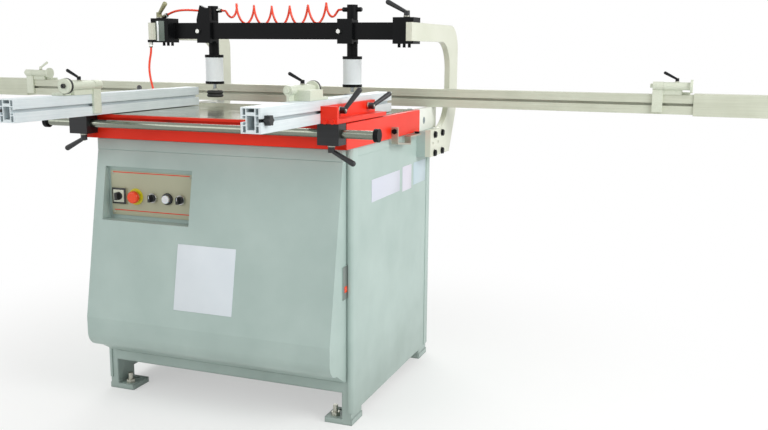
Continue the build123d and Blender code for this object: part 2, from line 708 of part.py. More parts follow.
def make_fence_bracket(side):
    wall_y = (BRACKET_FRONT, BRACKET_REAR)
    bracket = block((BRACKET_IN, bracket_out), wall_y, (FENCE_LOW, FENCE_LOW + BRACKET_WALL_HEIGHT))
    flange_x = (BRACKET_IN, BRACKET_IN + BRACKET_FLANGE_WIDTH)
    bracket += block(flange_x, wall_y, (FENCE_LOW, FENCE_LOW + BRACKET_FLANGE))
    front_y = (BRACKET_FRONT, BRACKET_FRONT + BRACKET_WALL)
    bracket += block(flange_x, front_y, (FENCE_LOW, FENCE_LOW + BRACKET_WALL_HEIGHT))
    for y in BRACKET_LEVER_Y:
        start = (BRACKET_IN, y, LEVER_HEIGHT)
        bracket -= round_bar(start, (bracket_out, y, LEVER_HEIGHT), LEVER_STUD + 2 * RUN_FIT)
    bolt_z = FENCE_LOW + BRACKET_FLANGE / 2
    heads = []
    for x in (BRACKET_IN + BRACKET_BOLT_HEAD, flange_x[1] - BRACKET_BOLT_HEAD):
        face = (x, BRACKET_FRONT, bolt_z)
        heads.append(round_bar((x, BRACKET_FRONT - BRACKET_BOLT_HEAD_THICK, bolt_z), face, BRACKET_BOLT_HEAD))
    return [to_side(piece, side) for piece in (bracket, *heads)]


def make_bracket_lever(y, angle, side):
    way = (0, cos(radians(angle)), sin(radians(angle)))
    seat = Plane(origin=(bracket_out + SEAT, y, LEVER_HEIGHT), x_dir=way, z_dir=(1, 0, 0))
    nut_face = SIDE_FENCE_OUTER - SLOT_LIP - SLOT_FIT
    lever = clamp_lever(seat, bracket_out + SEAT - nut_face)
    nut_back = nut_face - (SLOT_DEPTH - 2 * SLOT_FIT)
    nut = round_bar((nut_back, y, LEVER_HEIGHT), (nut_face, y, LEVER_HEIGHT), SLOT_INNER - 2 * SLOT_FIT)
    return to_side(lever + nut, side)


for name, side in SIDES.items():
    save(f"{name}_slide_block", make_slide_block(side))
    save(f"{name}_block_lever", make_block_lever(side))
    save(f"{name}_fence_bracket", *make_fence_bracket(side))
    for place, y, angle in zip(("front", "rear"), BRACKET_LEVER_Y, BRACKET_LEVER_ANGLE):
        save(f"{name}_{place}_bracket_lever", make_bracket_lever(y, angle, side))


# Fence section: a hollow box with a clamping slot in each side
def fence_section():
    core = FENCE_WIDTH - 2 * (SLOT_LIP + SLOT_DEPTH + SHEET)
    chamber = (FENCE_HEIGHT - SLOT_INNER) / 2 - 2 * SHEET
    chamber_z = FENCE_HEIGHT / 2 - SHEET - chamber / 2
    middle = FENCE_HEIGHT / 2 - FENCE_WALL
    section = Rectangle(FENCE_WIDTH, FENCE_HEIGHT) - Pos(0, -middle / 4) * Rectangle(core, 1.5 * middle)
    section -= Pos(0, FENCE_HEIGHT / 2 - SHEET - FENCE_WALL / 2) * Rectangle(core, FENCE_WALL)
    for side in (-1, 1):
        slot_x = side * (FENCE_WIDTH / 2 - SLOT_LIP - SLOT_DEPTH / 2)
        section -= Pos(slot_x, 0) * Rectangle(SLOT_DEPTH, SLOT_INNER)
        section -= Pos(side * (FENCE_WIDTH - SLOT_LIP) / 2, 0) * Rectangle(SLOT_LIP, SLOT_NECK)
        for way in (-1, 1):
            section -= Pos(slot_x, way * chamber_z) * Rectangle(SLOT_DEPTH, chamber)
    return section


def make_side_fence(side):
    middle_x = (SIDE_FENCE_INNER + SIDE_FENCE_OUTER) / 2
    seat = Plane(origin=(middle_x, SIDE_FENCE_REAR, LEVER_HEIGHT), x_dir=(1, 0, 0), z_dir=(0, -1, 0))
    return to_side(extrude(seat * fence_section(), SIDE_FENCE_REAR - SIDE_FENCE_FRONT), side)


# Star knob at the front end of each side fence, on a stud with a nut in the slot
def make_end_knob(side):
    face = SIDE_FENCE_OUTER + SEAT
    axis = (END_KNOB_Y, LEVER_HEIGHT)
    lobe = END_KNOB / 5
    knob = round_bar((face, *axis), (face + END_KNOB_THICK, *axis), END_KNOB - lobe)
    for number in range(END_KNOB_LOBES):
        angle = 2 * pi * number / END_KNOB_LOBES
        reach = (END_KNOB - lobe) / 2
        y = END_KNOB_Y + reach * cos(angle)
        z = LEVER_HEIGHT + reach * sin(angle)
        knob += round_bar((face, y, z), (face + END_KNOB_THICK, y, z), lobe)
    nut_face = SIDE_FENCE_OUTER - SLOT_LIP - SLOT_FIT
    nut_back = nut_face - (SLOT_DEPTH - 2 * SLOT_FIT)
    knob += round_bar((nut_back, *axis), (face, *axis), END_KNOB_STUD)
    knob += round_bar((nut_back, *axis), (nut_face, *axis), SLOT_INNER - 2 * SLOT_FIT)
    return to_side(knob, side)


for name, side in SIDES.items():
    save(f"{name}_side_fence", make_side_fence(side))
    save(f"{name}_end_knob", make_end_knob(side))


# Back fence on the rear side plates, with a sleeve over each end
def make_back_fence():
    middle_y = (BACK_FENCE_FRONT + BACK_FENCE_REAR) / 2
    seat = Plane(origin=(-BACK_FENCE_HALF, middle_y, LEVER_HEIGHT), x_dir=(0, 1, 0), z_dir=(1, 0, 0))
    fence = extrude(seat * fence_section(), 2 * BACK_FENCE_HALF)
    sleeves = []
    for side, length in ((-1, LEFT_SLEEVE_LENGTH), (1, RIGHT_SLEEVE_LENGTH)):
        sleeve_in = side * (BACK_FENCE_HALF - length)
        end = side * BACK_FENCE_HALF
        cap = side * (BACK_FENCE_HALF + SLEEVE_WALL)
        sleeve_y = (BACK_FENCE_FRONT - SLEEVE_WALL, BACK_FENCE_REAR + SLEEVE_WALL)
        sleeve_z = (FENCE_LOW - SLEEVE_WALL, FENCE_TOP + SLEEVE_WALL)
        sleeve = block((sleeve_in, cap), sleeve_y, sleeve_z)
        hollow = block((sleeve_in, end), (BACK_FENCE_FRONT, BACK_FENCE_REAR), (FENCE_LOW, FENCE_TOP))
        sleeves.append(sleeve - hollow)
    return [fence, *sleeves]


save("back_fence", *make_back_fence())


# Rear side plates: they carry the back fence and hold the trunnion pins of the boring unit
def make_rear_side_plate(side):
    plate_y = (TABLE_REAR, BACK_FENCE_REAR)
    plate = block((FRAME_IN, TABLE_HALF), plate_y, (CABINET_TOP, FENCE_LOW))
    pin = (TRUNNION_Y, TRUNNION_Z)
    plate -= round_bar((FRAME_IN, *pin), (TABLE_HALF, *pin), TRUNNION + 2 * RUN_FIT)
    return to_side(plate, side)


save("rear_side_plates", *[make_rear_side_plate(side) for side in SIDES.values()])


# Arms: thick cream plates that reach round the back fence and carry the beam
def make_arm(side):
    corners = [
        (ARM_FRONT, ARM_BAR_LOW),
        (ARM_FRONT, ARM_TOP),
        (ARM_REAR, ARM_TOP),
        (ARM_REAR, ARM_BEND_Z),
        (ARM_FOOT_REAR, ARM_FOOT_LOW),
        (ARM_FOOT_FRONT, ARM_FOOT_LOW),
        (ARM_FOOT_FRONT, ARM_FOOT_TOP),
        (ARM_INNER_REAR, ARM_FOOT_TOP),
        (ARM_INNER_REAR, ARM_BAR_LOW),
    ]
    rounding = [0, 0, ARM_CORNER, ARM_THROAT, 0, 0, 0, ARM_THROAT, ARM_INNER_CORNER]
    outline = FilletPolyline(*corners, radius=rounding, close=True)
    arm = upright_plate(outline, (ARM_INNER, ARM_OUTER))
    for y in ARM_BOLT_Y:
        for z in ARM_BOLT_Z:
            arm -= round_bar((ARM_INNER, y, z), (ARM_OUTER, y, z), ARM_BOLT)
    for y in DOWEL_Y:
        arm -= round_bar((ARM_INNER, y, DOWEL_Z), (ARM_OUTER, y, DOWEL_Z), DOWEL)
    return to_side(arm, side)


for name, side in SIDES.items():
    save(f"{name}_arm", make_arm(side))

# Hold-down beam: a flat bar between two end clamps that slide along the arms
end_top = ARM_TOP + SEAT + END_PLATE
end_low = ARM_BAR_LOW - SEAT - END_PLATE_LOW
beam_lever_y = BEAM_MIDDLE - END_PLATE
elbow = Vector(-ARM_MIDDLE, BEAM_REAR - END_STUD, end_top + ELBOW_RISE)
elbow_way = Vector(cos(radians(ELBOW_LEAN)), 0, sin(radians(ELBOW_LEAN)))
supply_port = (-ARM_OUTER - FITTING / 2, BEAM_REAR - END_BLOCK_DEPTH + FITTING / 2)


def make_beam_end(lever_x):
    end_y = (BEAM_REAR - END_BLOCK_DEPTH, BEAM_REAR)
    end = block((BEAM_HALF, ARM_INNER - SEAT), end_y, (end_low, end_top))
    end += block((BEAM_HALF, ARM_OUTER), end_y, (ARM_TOP + SEAT, end_top))
    end += block((BEAM_HALF, ARM_OUTER), end_y, (end_low, ARM_BAR_LOW - SEAT))
    for number in range(3):
        stud = (BEAM_HALF + (number + 0.5) * END_STUD_PITCH, beam_lever_y)
        end += round_bar((*stud, end_low - END_STUD_LENGTH), (*stud, end_low), END_STUD)
    lever = (lever_x, beam_lever_y)
    return end - round_bar((*lever, ARM_BAR_LOW), (*lever, end_top), LEVER_STUD + 2 * RUN_FIT)


def make_beam():
    beam = block((-BEAM_HALF, BEAM_HALF), (BEAM_FRONT, BEAM_REAR), (BEAM_LOW, BEAM_TOP))
    beam += make_beam_end(BEAM_LEVER_X) + to_side(make_beam_end(ARM_MIDDLE), -1)
    elbow_top = elbow + Vector(0, 0, FITTING / 2)
    beam += round_bar((elbow.X, elbow.Y, end_top), (*elbow_top,), FITTING)
    beam += round_bar((*elbow,), (*(elbow + elbow_way * (FITTING / 2 + FITTING_HEIGHT)),), FITTING)
    lug_x = (-ARM_OUTER, supply_port[0] - FITTING / 2)
    lug_y = (supply_port[1] - FITTING / 2, supply_port[1] + FITTING / 2)
    beam += block(lug_x, lug_y, (end_low, ARM_BAR_LOW - SEAT))
    return beam + round_bar((*supply_port, end_low), (*supply_port, end_low - FITTING_HEIGHT), FITTING)


save("hold_down_beam", make_beam())
beam_levers = {
    "left": (ARM_MIDDLE, (-0.8, -0.6, 0), END_PLATE),
    "right": (BEAM_LEVER_X, (-1, 0, 0), END_PLATE + END_STUD),
}
for name, (x, way, stud_length) in beam_levers.items():
    seat = Plane(origin=(x, beam_lever_y, end_top + SEAT), x_dir=way, z_dir=(0, 0, 1))
    save(f"{name}_beam_lever", to_side(clamp_lever(seat, stud_length), SIDES[name]))

# Hold-down heads: two plates and two straps round the beam, and an upright tube for the air cylinder
port_height = HEAD_TUBE_TOP - FITTING
port_reach = HEAD_TUBE / 2 + FITTING_HEIGHT
strap_top = BEAM_TOP + SEAT + HEAD_STRAP


def make_head(x):
    width = (x - HEAD_WIDTH / 2, x + HEAD_WIDTH / 2)
    front = BEAM_FRONT - SEAT - HEAD_PLATE
    rear = BEAM_REAR + SEAT + HEAD_PLATE
    head = block(width, (front, BEAM_FRONT - SEAT), (HEAD_LOW, HEAD_TOP))
    head += block(width, (BEAM_REAR + SEAT, rear), (HEAD_LOW, strap_top))
    head += block(width, (front, rear), (BEAM_TOP + SEAT, strap_top))
    head += block(width, (front, rear), (BEAM_LOW - SEAT - HEAD_STRAP, BEAM_LOW - SEAT))
    head += round_bar((x, HEAD_AXIS, CYLINDER_TOP), (x, HEAD_AXIS, HEAD_TUBE_TOP), HEAD_TUBE)
    ports = [(x + way * port_reach, HEAD_AXIS, port_height) for way in (-1, 1)]
    head += round_bar(*ports, FITTING)
    bolt = (width[0] + HEAD_BOLT / 2, HEAD_TOP - HEAD_BOLT_DOWN)
    return head + hex_bar((bolt[0], front, bolt[1]), (bolt[0], front - HEAD_BOLT_THICK, bolt[1]), HEAD_BOLT)


def make_fin(x):
    left = x - HEAD_WIDTH / 2
    step_z = FIN_TOP - FIN_STEP_DOWN
    corners = [
        (left, HEAD_TOP),
        (left + FIN_LEAN, FIN_TOP),
        (left + FIN_STEP_IN, step_z),
        (left + HEAD_WIDTH, step_z),
        (left + HEAD_WIDTH, HEAD_TOP),
    ]
    face = make_face(Polyline(*corners, close=True))
    front_plane = Plane(origin=(0, BEAM_FRONT - SEAT, 0), x_dir=(1, 0, 0), z_dir=(0, -1, 0))
    return front_plane * extrude(face, HEAD_PLATE)


def make_cylinder(x):
    axis = (x, HEAD_AXIS)
    cap_low = CYLINDER_LOW + CYLINDER_CAP
    cap_high = CYLINDER_TOP - CYLINDER_CAP
    cylinder = round_bar((*axis, cap_low), (*axis, cap_high), BARREL)
    cylinder += round_bar((*axis, CYLINDER_LOW), (*axis, cap_low), CAP)
    cylinder += round_bar((*axis, cap_high), (*axis, CYLINDER_TOP), CAP)
    return cylinder - round_bar((*axis, CYLINDER_LOW), (*axis, cap_high), PISTON_ROD + 2 * RUN_FIT)


def make_pressure_foot(x):
    axis = (x, HEAD_AXIS)
    pad_top = FOOT_PAD_LOW + FOOT_PAD_THICK
    pad = round_bar((*axis, FOOT_PAD_LOW), (*axis, pad_top), FOOT_PAD)
    return pad + round_bar((*axis, pad_top), (*axis, CYLINDER_TOP - 2 * CYLINDER_CAP), PISTON_ROD)


heads = {"left": LEFT_HEAD_X, "right": RIGHT_HEAD_X}
for name, x in heads.items():
    head = make_head(x)
    save(f"{name}_clamp_head", head + make_fin(x) if name == "left" else head)
    save(f"{name}_cylinder", make_cylinder(x))
    save(f"{name}_pressure_foot", make_pressure_foot(x))


# Hoses: straight runs joined by the largest tangent arcs that the runs leave room for
def hose_tube(name, points):
    vectors = [Vector(*point) for point in points]
    runs = [after - before for before, after in zip(vectors, vectors[1:])]
    radii = []
    for run_in, run_out in zip(runs, runs[1:]):
        half_turn = radians(run_in.get_angle(run_out)) / 2
        radii.append(0.45 * min(run_in.length, run_out.length) / tan(half_turn))
    path = FilletPolyline(*points, radius=radii)
    tube = sweep(Plane(origin=points[0], z_dir=runs[0]) * Circle(HOSE / 2), path=path)
    expected = pi * HOSE**2 / 4 * path.length
    print(name, "length", round(path.length), "volume ratio", round(tube.volume / expected, 4))
    print(name, "bend radii", [round(radius) for radius in radii])
    return tube


supply_route = [
    (-511, 22, 1158.7),
    (-511, 22, 1138),
    (-518, 20, 1108),
    (-521, 19, 1075),
    (-516, 20, 1035),
    (-507, 25, 990),
    (-497, 36, 945),
    (-487, 52, 903),
    (-478, 66, 868),
    (-478, 66, 846.3),
]
save("supply_hose", hose_tube("supply_hose", supply_route))

link_route = [
    (-473.04, 74, 1271.61),
    (-450.38, 74, 1282.17),
    (-424, 80, 1288.5),
    (-394, 94, 1290.5),
    (-362, 112, 1288),
    (-333.5, 112, 1288),
]
save("link_hose", hose_tube("link_hose", link_route))


# Spiral hose between the two heads: it leaves each port straight, opens into full curls and sags
def spiral_point(turn):
    """A point on the spiral's middle line, by the turns wound so far."""
    share = turn / SPIRAL_TURNS
    opening = min(turn, SPIRAL_TURNS - turn, 1)
    radius = SPIRAL_RADIUS * opening**2 * (3 - 2 * opening)
    x = spiral_start + share * (spiral_end - spiral_start)
    z = port_height - 4 * SPIRAL_SAG * share * (1 - share)
    angle = 2 * pi * turn
    return Vector(x, HEAD_AXIS - radius * sin(angle), z + radius * cos(angle))


def spiral_tangent(turn):
    step = 0.001
    before = max(turn - step, 0)
    after = min(turn + step, SPIRAL_TURNS)
    return (spiral_point(after) - spiral_point(before)).normalized()


def biarc(start, start_way, end, end_way):
    """Two arcs that leave and arrive along the given ways and meet smoothly."""
    across = end - start
    ways = start_way + end_way
    spread = 2 * (1 - start_way.dot(end_way))
    reach = across.dot(ways)
    if spread < 1e-6:
        length = across.length**2 / (2 * reach)
    else:
        length = (sqrt(reach**2 + spread * across.length**2) - reach) / spread
    meet = (start + start_way * length + end - end_way * length) / 2
    first = Edge.make_tangent_arc(start, start_way, meet)
    return [first, Edge.make_tangent_arc(meet, first % 1, end)]


def make_spiral_hose():
    quarters = [number / 4 for number in range(4 * SPIRAL_TURNS + 1)]
    places = [spiral_point(turn) for turn in quarters]
    ways = [spiral_tangent(turn) for turn in quarters]
    ways[0] = ways[-1] = Vector(1, 0, 0)
    edges = [Edge.make_line(places[0] - ways[0] * HOSE, places[0])]
    for before, after in zip(range(len(places)), range(1, len(places))):
        edges += biarc(places[before], ways[before], places[after], ways[after])
    edges.append(Edge.make_line(places[-1], places[-1] + ways[-1] * HOSE))
    path = Wire(edges)
    start = places[0] - ways[0] * HOSE
    tube = sweep(Plane(origin=start, z_dir=ways[0]) * Circle(HOSE / 2), path=path)
    samples = [spiral_point(number / 48) for number in range(48 * SPIRAL_TURNS + 1)]
    gaps = []
    for first in range(len(samples)):
        for second in range(first + 24, len(samples)):
            gaps.append((samples[first] - samples[second]).length - HOSE)
    expected = pi * HOSE**2 / 4 * path.length
    print("spiral_hose length", round(path.length), "volume ratio", round(tube.volume / expected, 4))
    print("spiral_hose least gap to itself", round(min(gaps), 1))
    print("spiral_hose least arc radius", round(min(edge.radius for edge in edges[1:-1]), 1))
    return tube


spiral_start = LEFT_HEAD_X + port_reach + HOSE
spiral_end = RIGHT_HEAD_X - port_reach - HOSE
save("spiral_hose", make_spiral_hose())


# Tilt lock strap: a bent flat bar that stands on edge against the right-hand side of the table
def make_tilt_strap():
    route = [(y, CABINET_TOP + rise) for y, rise in zip(STRAP_Y, STRAP_RISE)]
    strap_x = (TABLE_HALF, TABLE_HALF + STRAP_WIDTH)
    middle_x = sum(strap_x) / 2
    strap = None
    for start, end in zip(route, route[1:]):
        line = Vector(0, end[0] - start[0], end[1] - start[1])
        middle = (middle_x, (start[0] + end[0]) / 2, (start[1] + end[1]) / 2)
        run = Plane(origin=middle, x_dir=line, z_dir=(1, 0, 0)) * Box(line.length, STRAP_THICK, STRAP_WIDTH)
        for corner in (start, end):
            run += round_bar((strap_x[0], *corner), (strap_x[1], *corner), STRAP_THICK)
        strap = run if strap is None else strap + run
    bolt = STRAP_WIDTH - STRAP_THICK
    front_bolt = (middle_x, route[0][0], route[0][1] - STRAP_WIDTH / 2)
    strap += hex_bar(front_bolt, forward(front_bolt, 1.5 * STRAP_THICK), bolt)
    rear_bolt = (middle_x, route[-1][0] - STRAP_WIDTH / 2)
    return strap + hex_bar((*rear_bolt, route[-1][1]), (*rear_bolt, route[-1][1] + 1.5 * STRAP_THICK), bolt)


save("tilt_lock_strap", make_tilt_strap())


# Boring unit: a cradle on trunnions, with the gear case sliding on its two columns
case_y = (TRUNNION_Y - CRADLE_RADIUS, TRUNNION_Y + CRADLE_RADIUS)
case_top = GEAR_CASE_LOW + GEAR_CASE_HEIGHT
floor_top = CRADLE_LOW + CRADLE_FLOOR


def make_cradle():
    plate_in = CRADLE_HALF - CRADLE_PLATE
    cradle = block((-plate_in, plate_in), case_y, (CRADLE_LOW, floor_top))
    for side in (-1, 1):
        plate_x = (side * plate_in, side * CRADLE_HALF)
        axis = (TRUNNION_Y, TRUNNION_Z)
        cradle += block(plate_x, case_y, (CRADLE_LOW, TRUNNION_Z))
        cradle += round_bar((plate_x[0], *axis), (plate_x[1], *axis), 2 * CRADLE_RADIUS)
        cradle += round_bar((plate_x[0], *axis), (side * TABLE_HALF, *axis), TRUNNION)
        column = (side * COLUMN_X, TRUNNION_Y)
        cradle += round_bar((*column, floor_top), (*column, COLUMN_TOP), COLUMN)
        tie_y = (TRUNNION_Y - COLUMN / 2, TRUNNION_Y + COLUMN / 2)
        cradle += block((side * COLUMN_X, plate_x[0]), tie_y, (COLUMN_TOP - CRADLE_PLATE / 2, COLUMN_TOP))
    return cradle


save("tilt_cradle", make_cradle())


def make_feed_cylinder(side):
    axis = (side * FEED_X, TRUNNION_Y)
    barrel_top = floor_top + FEED_LENGTH
    barrel = round_bar((*axis, floor_top), (*axis, barrel_top), FEED_BARREL)
    return barrel - round_bar((*axis, floor_top + CRADLE_FLOOR), (*axis, barrel_top), FEED_ROD + 2 * RUN_FIT)


save("feed_cylinders", *[make_feed_cylinder(side) for side in SIDES.values()])


def make_gear_case():
    case = block((-GEAR_CASE_HALF, GEAR_CASE_HALF), case_y, (GEAR_CASE_LOW, case_top))
    middle = (0, TRUNNION_Y)
    shaft_low = GEAR_CASE_LOW + CRADLE_FLOOR
    case -= round_bar((*middle, shaft_low), (*middle, case_top), SPINDLE_SHAFT + 2 * RUN_FIT)
    for side in (-1, 1):
        column = (side * COLUMN_X, TRUNNION_Y)
        case -= round_bar((*column, GEAR_CASE_LOW), (*column, case_top), COLUMN + 2 * RUN_FIT)
        rod = (side * FEED_X, TRUNNION_Y)
        case += round_bar((*rod, floor_top + 2 * CRADLE_FLOOR), (*rod, GEAR_CASE_LOW), FEED_ROD)
    return case


save("gear_case", make_gear_case())


def make_motor():
    axis = (0, TRUNNION_Y)
    motor_low = GEAR_CASE_LOW - MOTOR_LENGTH
    motor = round_bar((*axis, motor_low + MOTOR_CAP), (*axis, GEAR_CASE_LOW - MOTOR_CAP), MOTOR)
    motor += round_bar((*axis, motor_low), (*axis, GEAR_CASE_LOW), MOTOR - MOTOR_CAP)
    box_y = (TRUNNION_Y + MOTOR / 2 - MOTOR_CAP, TRUNNION_Y + MOTOR / 2 + MOTOR_CAP)
    box_z = (GEAR_CASE_LOW - MOTOR_LENGTH / 2, GEAR_CASE_LOW - MOTOR_CAP)
    return motor + block((-1.5 * MOTOR_CAP, 1.5 * MOTOR_CAP), box_y, box_z)


save("drive_motor", make_motor())


# Spindles: chucks and bits in a row at a steady pitch; the middle one also shows its driven shaft
def make_spindle(number, shaft_length, gap):
    axis = ((number - (SPINDLE_COUNT - 1) / 2) * SPINDLE_PITCH, TRUNNION_Y)
    chuck_top = case_top + CHUCK_HEIGHT
    spindle = round_bar((*axis, case_top + gap), (*axis, chuck_top), CHUCK)
    spindle += round_bar((*axis, chuck_top), (*axis, BIT_TOP), BIT)
    if shaft_length > 0:
        spindle += round_bar((*axis, case_top - shaft_length), (*axis, case_top + gap), SPINDLE_SHAFT)
    return spindle


middle_spindle = SPINDLE_COUNT // 2
others = [number for number in range(SPINDLE_COUNT) if number != middle_spindle]
save("drill_spindles", *[make_spindle(number, 0, 0) for number in others])
save("drive_spindle", make_spindle(middle_spindle, GEAR_CASE_HEIGHT - 2 * CRADLE_FLOOR, SEAT))

# Swing stops on the fences: a casting on the fence top and a strap that swings over the working face
# Each is drawn with X along the fence, Y away from the working face and Z up from the fence's top
pivot_y = -STOP_STRAP_THICK / 2 - SEAT
strap_low = STOP_STRAP_LOW - FENCE_TOP
lever_seat = STOP_PIVOT_UP + STOP_EYE / 2 - 1


def stop_casting(length):
    saddle_y = (STOP_SADDLE, FENCE_WIDTH - STOP_SADDLE)
    casting = block((-length, 0), saddle_y, (SEAT, STOP_SADDLE))
    tower_x = (-0.7 * length, 0)
    casting += block(tower_x, (pivot_y, saddle_y[1]), (SEAT, STOP_PIVOT_UP))
    pivot = (pivot_y, STOP_PIVOT_UP)
    casting += round_bar((-length, *pivot), (0, *pivot), STOP_EYE - 2)
    casting += round_bar((-length - STOP_SADDLE, *pivot), (-length, *pivot), STOP_DISC)
    boss_x = (-length / 2 - STOP_SADDLE, -length / 2 + STOP_SADDLE)
    boss_y = (pivot_y - STOP_SADDLE, pivot_y + STOP_SADDLE)
    casting += block(boss_x, boss_y, (STOP_PIVOT_UP, lever_seat))
    collar_in = STOP_STRAP + 2 * SEAT
    pin_end = collar_in + STOP_SADDLE
    casting += round_bar((0, *pivot), (pin_end, *pivot), STOP_PIN)
    return casting + round_bar((collar_in, *pivot), (pin_end, *pivot), STOP_EYE / 2)


def stop_lever(length, way):
    hub = (-length / 2, pivot_y, lever_seat)
    return clamp_lever(Plane(origin=hub, x_dir=way, z_dir=(0, 0, 1)), 0, STOP_LEVER_SIZE)


def stop_strap():
    pivot = (pivot_y, STOP_PIVOT_UP)
    strap_x = (SEAT, SEAT + STOP_STRAP)
    strap_y = (pivot_y - STOP_STRAP_THICK / 2, pivot_y + STOP_STRAP_THICK / 2)
    strap = round_bar((strap_x[0], *pivot), (strap_x[1], *pivot), STOP_EYE)
    strap += block(strap_x, strap_y, (strap_low, STOP_PIVOT_UP))
    return strap - round_bar((strap_x[0], *pivot), (strap_x[1], *pivot), STOP_PIN + 2 * RUN_FIT)


stops = {
    "back_left": ((BACK_STOP_X[0], BACK_FENCE_FRONT), (1, 0, 0), -1, BACK_STOP_LENGTH, (0, 1, 0)),
    "back_right": ((BACK_STOP_X[1], BACK_FENCE_FRONT), (1, 0, 0), -1, BACK_STOP_LENGTH, (1, 0, 0)),
    "side_left": ((-SIDE_FENCE_INNER, LEFT_STOP_Y), (0, 1, 0), 1, SIDE_STOP_LENGTH, (0, 1, 0)),
    "side_right": ((SIDE_FENCE_INNER, RIGHT_STOP_Y), (0, -1, 0), 1, SIDE_STOP_LENGTH, (0, -1, 0)),
}
for name, (place, along, hand, length, lever_way) in stops.items():
    seat = Plane(origin=(*place, FENCE_TOP), x_dir=along, z_dir=(0, 0, 1))
    body = [stop_casting(length), stop_lever(length, lever_way)]
    save(f"{name}_stop_body", *[seat * to_side(piece, hand) for piece in body])
    save(f"{name}_stop_arm", seat * to_side(stop_strap(), hand))
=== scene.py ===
from math import atan2, cos, pi, radians, sin, tau

import bmesh
import bpy
from mathutils import Matrix, Vector


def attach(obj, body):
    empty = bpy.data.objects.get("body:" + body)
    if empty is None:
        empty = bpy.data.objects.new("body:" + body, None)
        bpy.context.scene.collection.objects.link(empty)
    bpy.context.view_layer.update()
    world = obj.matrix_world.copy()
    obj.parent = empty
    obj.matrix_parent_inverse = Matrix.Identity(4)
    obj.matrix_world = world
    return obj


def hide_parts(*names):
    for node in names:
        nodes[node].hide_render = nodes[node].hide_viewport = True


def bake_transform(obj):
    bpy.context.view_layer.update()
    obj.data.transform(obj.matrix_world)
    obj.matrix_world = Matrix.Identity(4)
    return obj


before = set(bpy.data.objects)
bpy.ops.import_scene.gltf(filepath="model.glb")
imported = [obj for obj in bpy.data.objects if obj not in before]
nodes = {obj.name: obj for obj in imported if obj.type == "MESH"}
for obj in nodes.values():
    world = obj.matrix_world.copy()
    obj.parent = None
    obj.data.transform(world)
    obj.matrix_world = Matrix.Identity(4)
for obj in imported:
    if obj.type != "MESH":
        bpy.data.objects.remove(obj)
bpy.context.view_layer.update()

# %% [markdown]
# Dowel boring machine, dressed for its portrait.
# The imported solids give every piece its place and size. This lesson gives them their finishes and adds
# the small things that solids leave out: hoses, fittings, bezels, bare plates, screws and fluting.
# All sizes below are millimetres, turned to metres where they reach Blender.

MM = 0.001

# %% [markdown]
# The camera stands to the right of the machine, a little above its hold-down beam, and looks down at it.
# A camera can be aimed with a constraint, but its direction is known here, so the three axes are written
# straight into its matrix: right, up and back. The picture is 768 by 430 and no shift is needed.

# %% Camera at the photograph's angle
CAMERA_PLACE = Vector((1456.0, -2801.9, 1157.4)) * MM
CAMERA_YAW = radians(20.444)
CAMERA_DOWN = radians(10.527)
CAMERA_ROLL = radians(0.461)
CAMERA_LENS = 42.01

ahead = Vector((-sin(CAMERA_YAW) * cos(CAMERA_DOWN), cos(CAMERA_YAW) * cos(CAMERA_DOWN), -sin(CAMERA_DOWN)))
level = Vector((cos(CAMERA_YAW), sin(CAMERA_YAW), 0))
upright = level.cross(ahead)
right = level * cos(CAMERA_ROLL) + upright * sin(CAMERA_ROLL)
above = upright * cos(CAMERA_ROLL) - level * sin(CAMERA_ROLL)
camera_data = bpy.data.cameras.new("portrait_camera")
camera_data.sensor_fit = "HORIZONTAL"
camera_data.sensor_width = 36
camera_data.lens = CAMERA_LENS
camera = bpy.data.objects.new("portrait_camera", camera_data)
turn = Matrix((right, above, -ahead)).transposed().to_4x4()
camera.matrix_world = Matrix.Translation(CAMERA_PLACE) @ turn
bpy.context.scene.collection.objects.link(camera)
bpy.context.scene.camera = camera
bpy.context.scene.view_settings.view_transform = "Standard"
print("camera", [round(v, 3) for v in camera.location], "lens", camera_data.lens)

# %% [markdown]
# Every finish is a tree of nodes. One helper adds a node, sets it and links it, and another turns the
# hex colours that people write into the linear ones that light is counted in. The rest are the short
# rows of nodes that come back in many finishes: a noise, a mix of two colours, a bump on soft edges.

# %% Helpers for finishes
def linear(code):
    """A #RRGGBB colour as linear red, green, blue and alpha."""
    parts = [int(code[place:place + 2], 16) / 255 for place in (1, 3, 5)]
    return tuple(v / 12.92 if v <= 0.04045 else ((v + 0.055) / 1.055) ** 2.4 for v in parts) + (1.0,)


def add(tree, kind, settings, sockets):
    """Adds a node, with its settings and with a value or a link for each named socket."""
    node = tree.nodes.new(kind)
    for key, value in settings.items():
        setattr(node, key, value)
    for key, value in sockets.items():
        if isinstance(value, bpy.types.NodeSocket):
            tree.links.new(value, node.inputs[key])
        else:
            node.inputs[key].default_value = value
    return node


def new_finish(name):
    """An empty material: its tree, and its shader joined to the output."""
    material = bpy.data.materials.new(name)
    material.use_nodes = True
    tree = material.node_tree
    tree.nodes.clear()
    shader = add(tree, "ShaderNodeBsdfPrincipled", {}, {})
    add(tree, "ShaderNodeOutputMaterial", {}, {"Surface": shader.outputs["BSDF"]})
    return material, tree, shader


def noise(tree, place, size, detail):
    """A cloudy pattern between 0 and 1: size is that of its clouds, in metres."""
    sockets = {"Vector": place, "Scale": 1 / size, "Detail": detail}
    return add(tree, "ShaderNodeTexNoise", {}, sockets).outputs["Fac"]


def mix_colours(tree, share, first, second):
    """Two colours mixed: all of the second one where the share is 1."""
    sockets = {"Factor": share, 6: first, 7: second}
    return add(tree, "ShaderNodeMix", {"data_type": "RGBA"}, sockets).outputs[2]


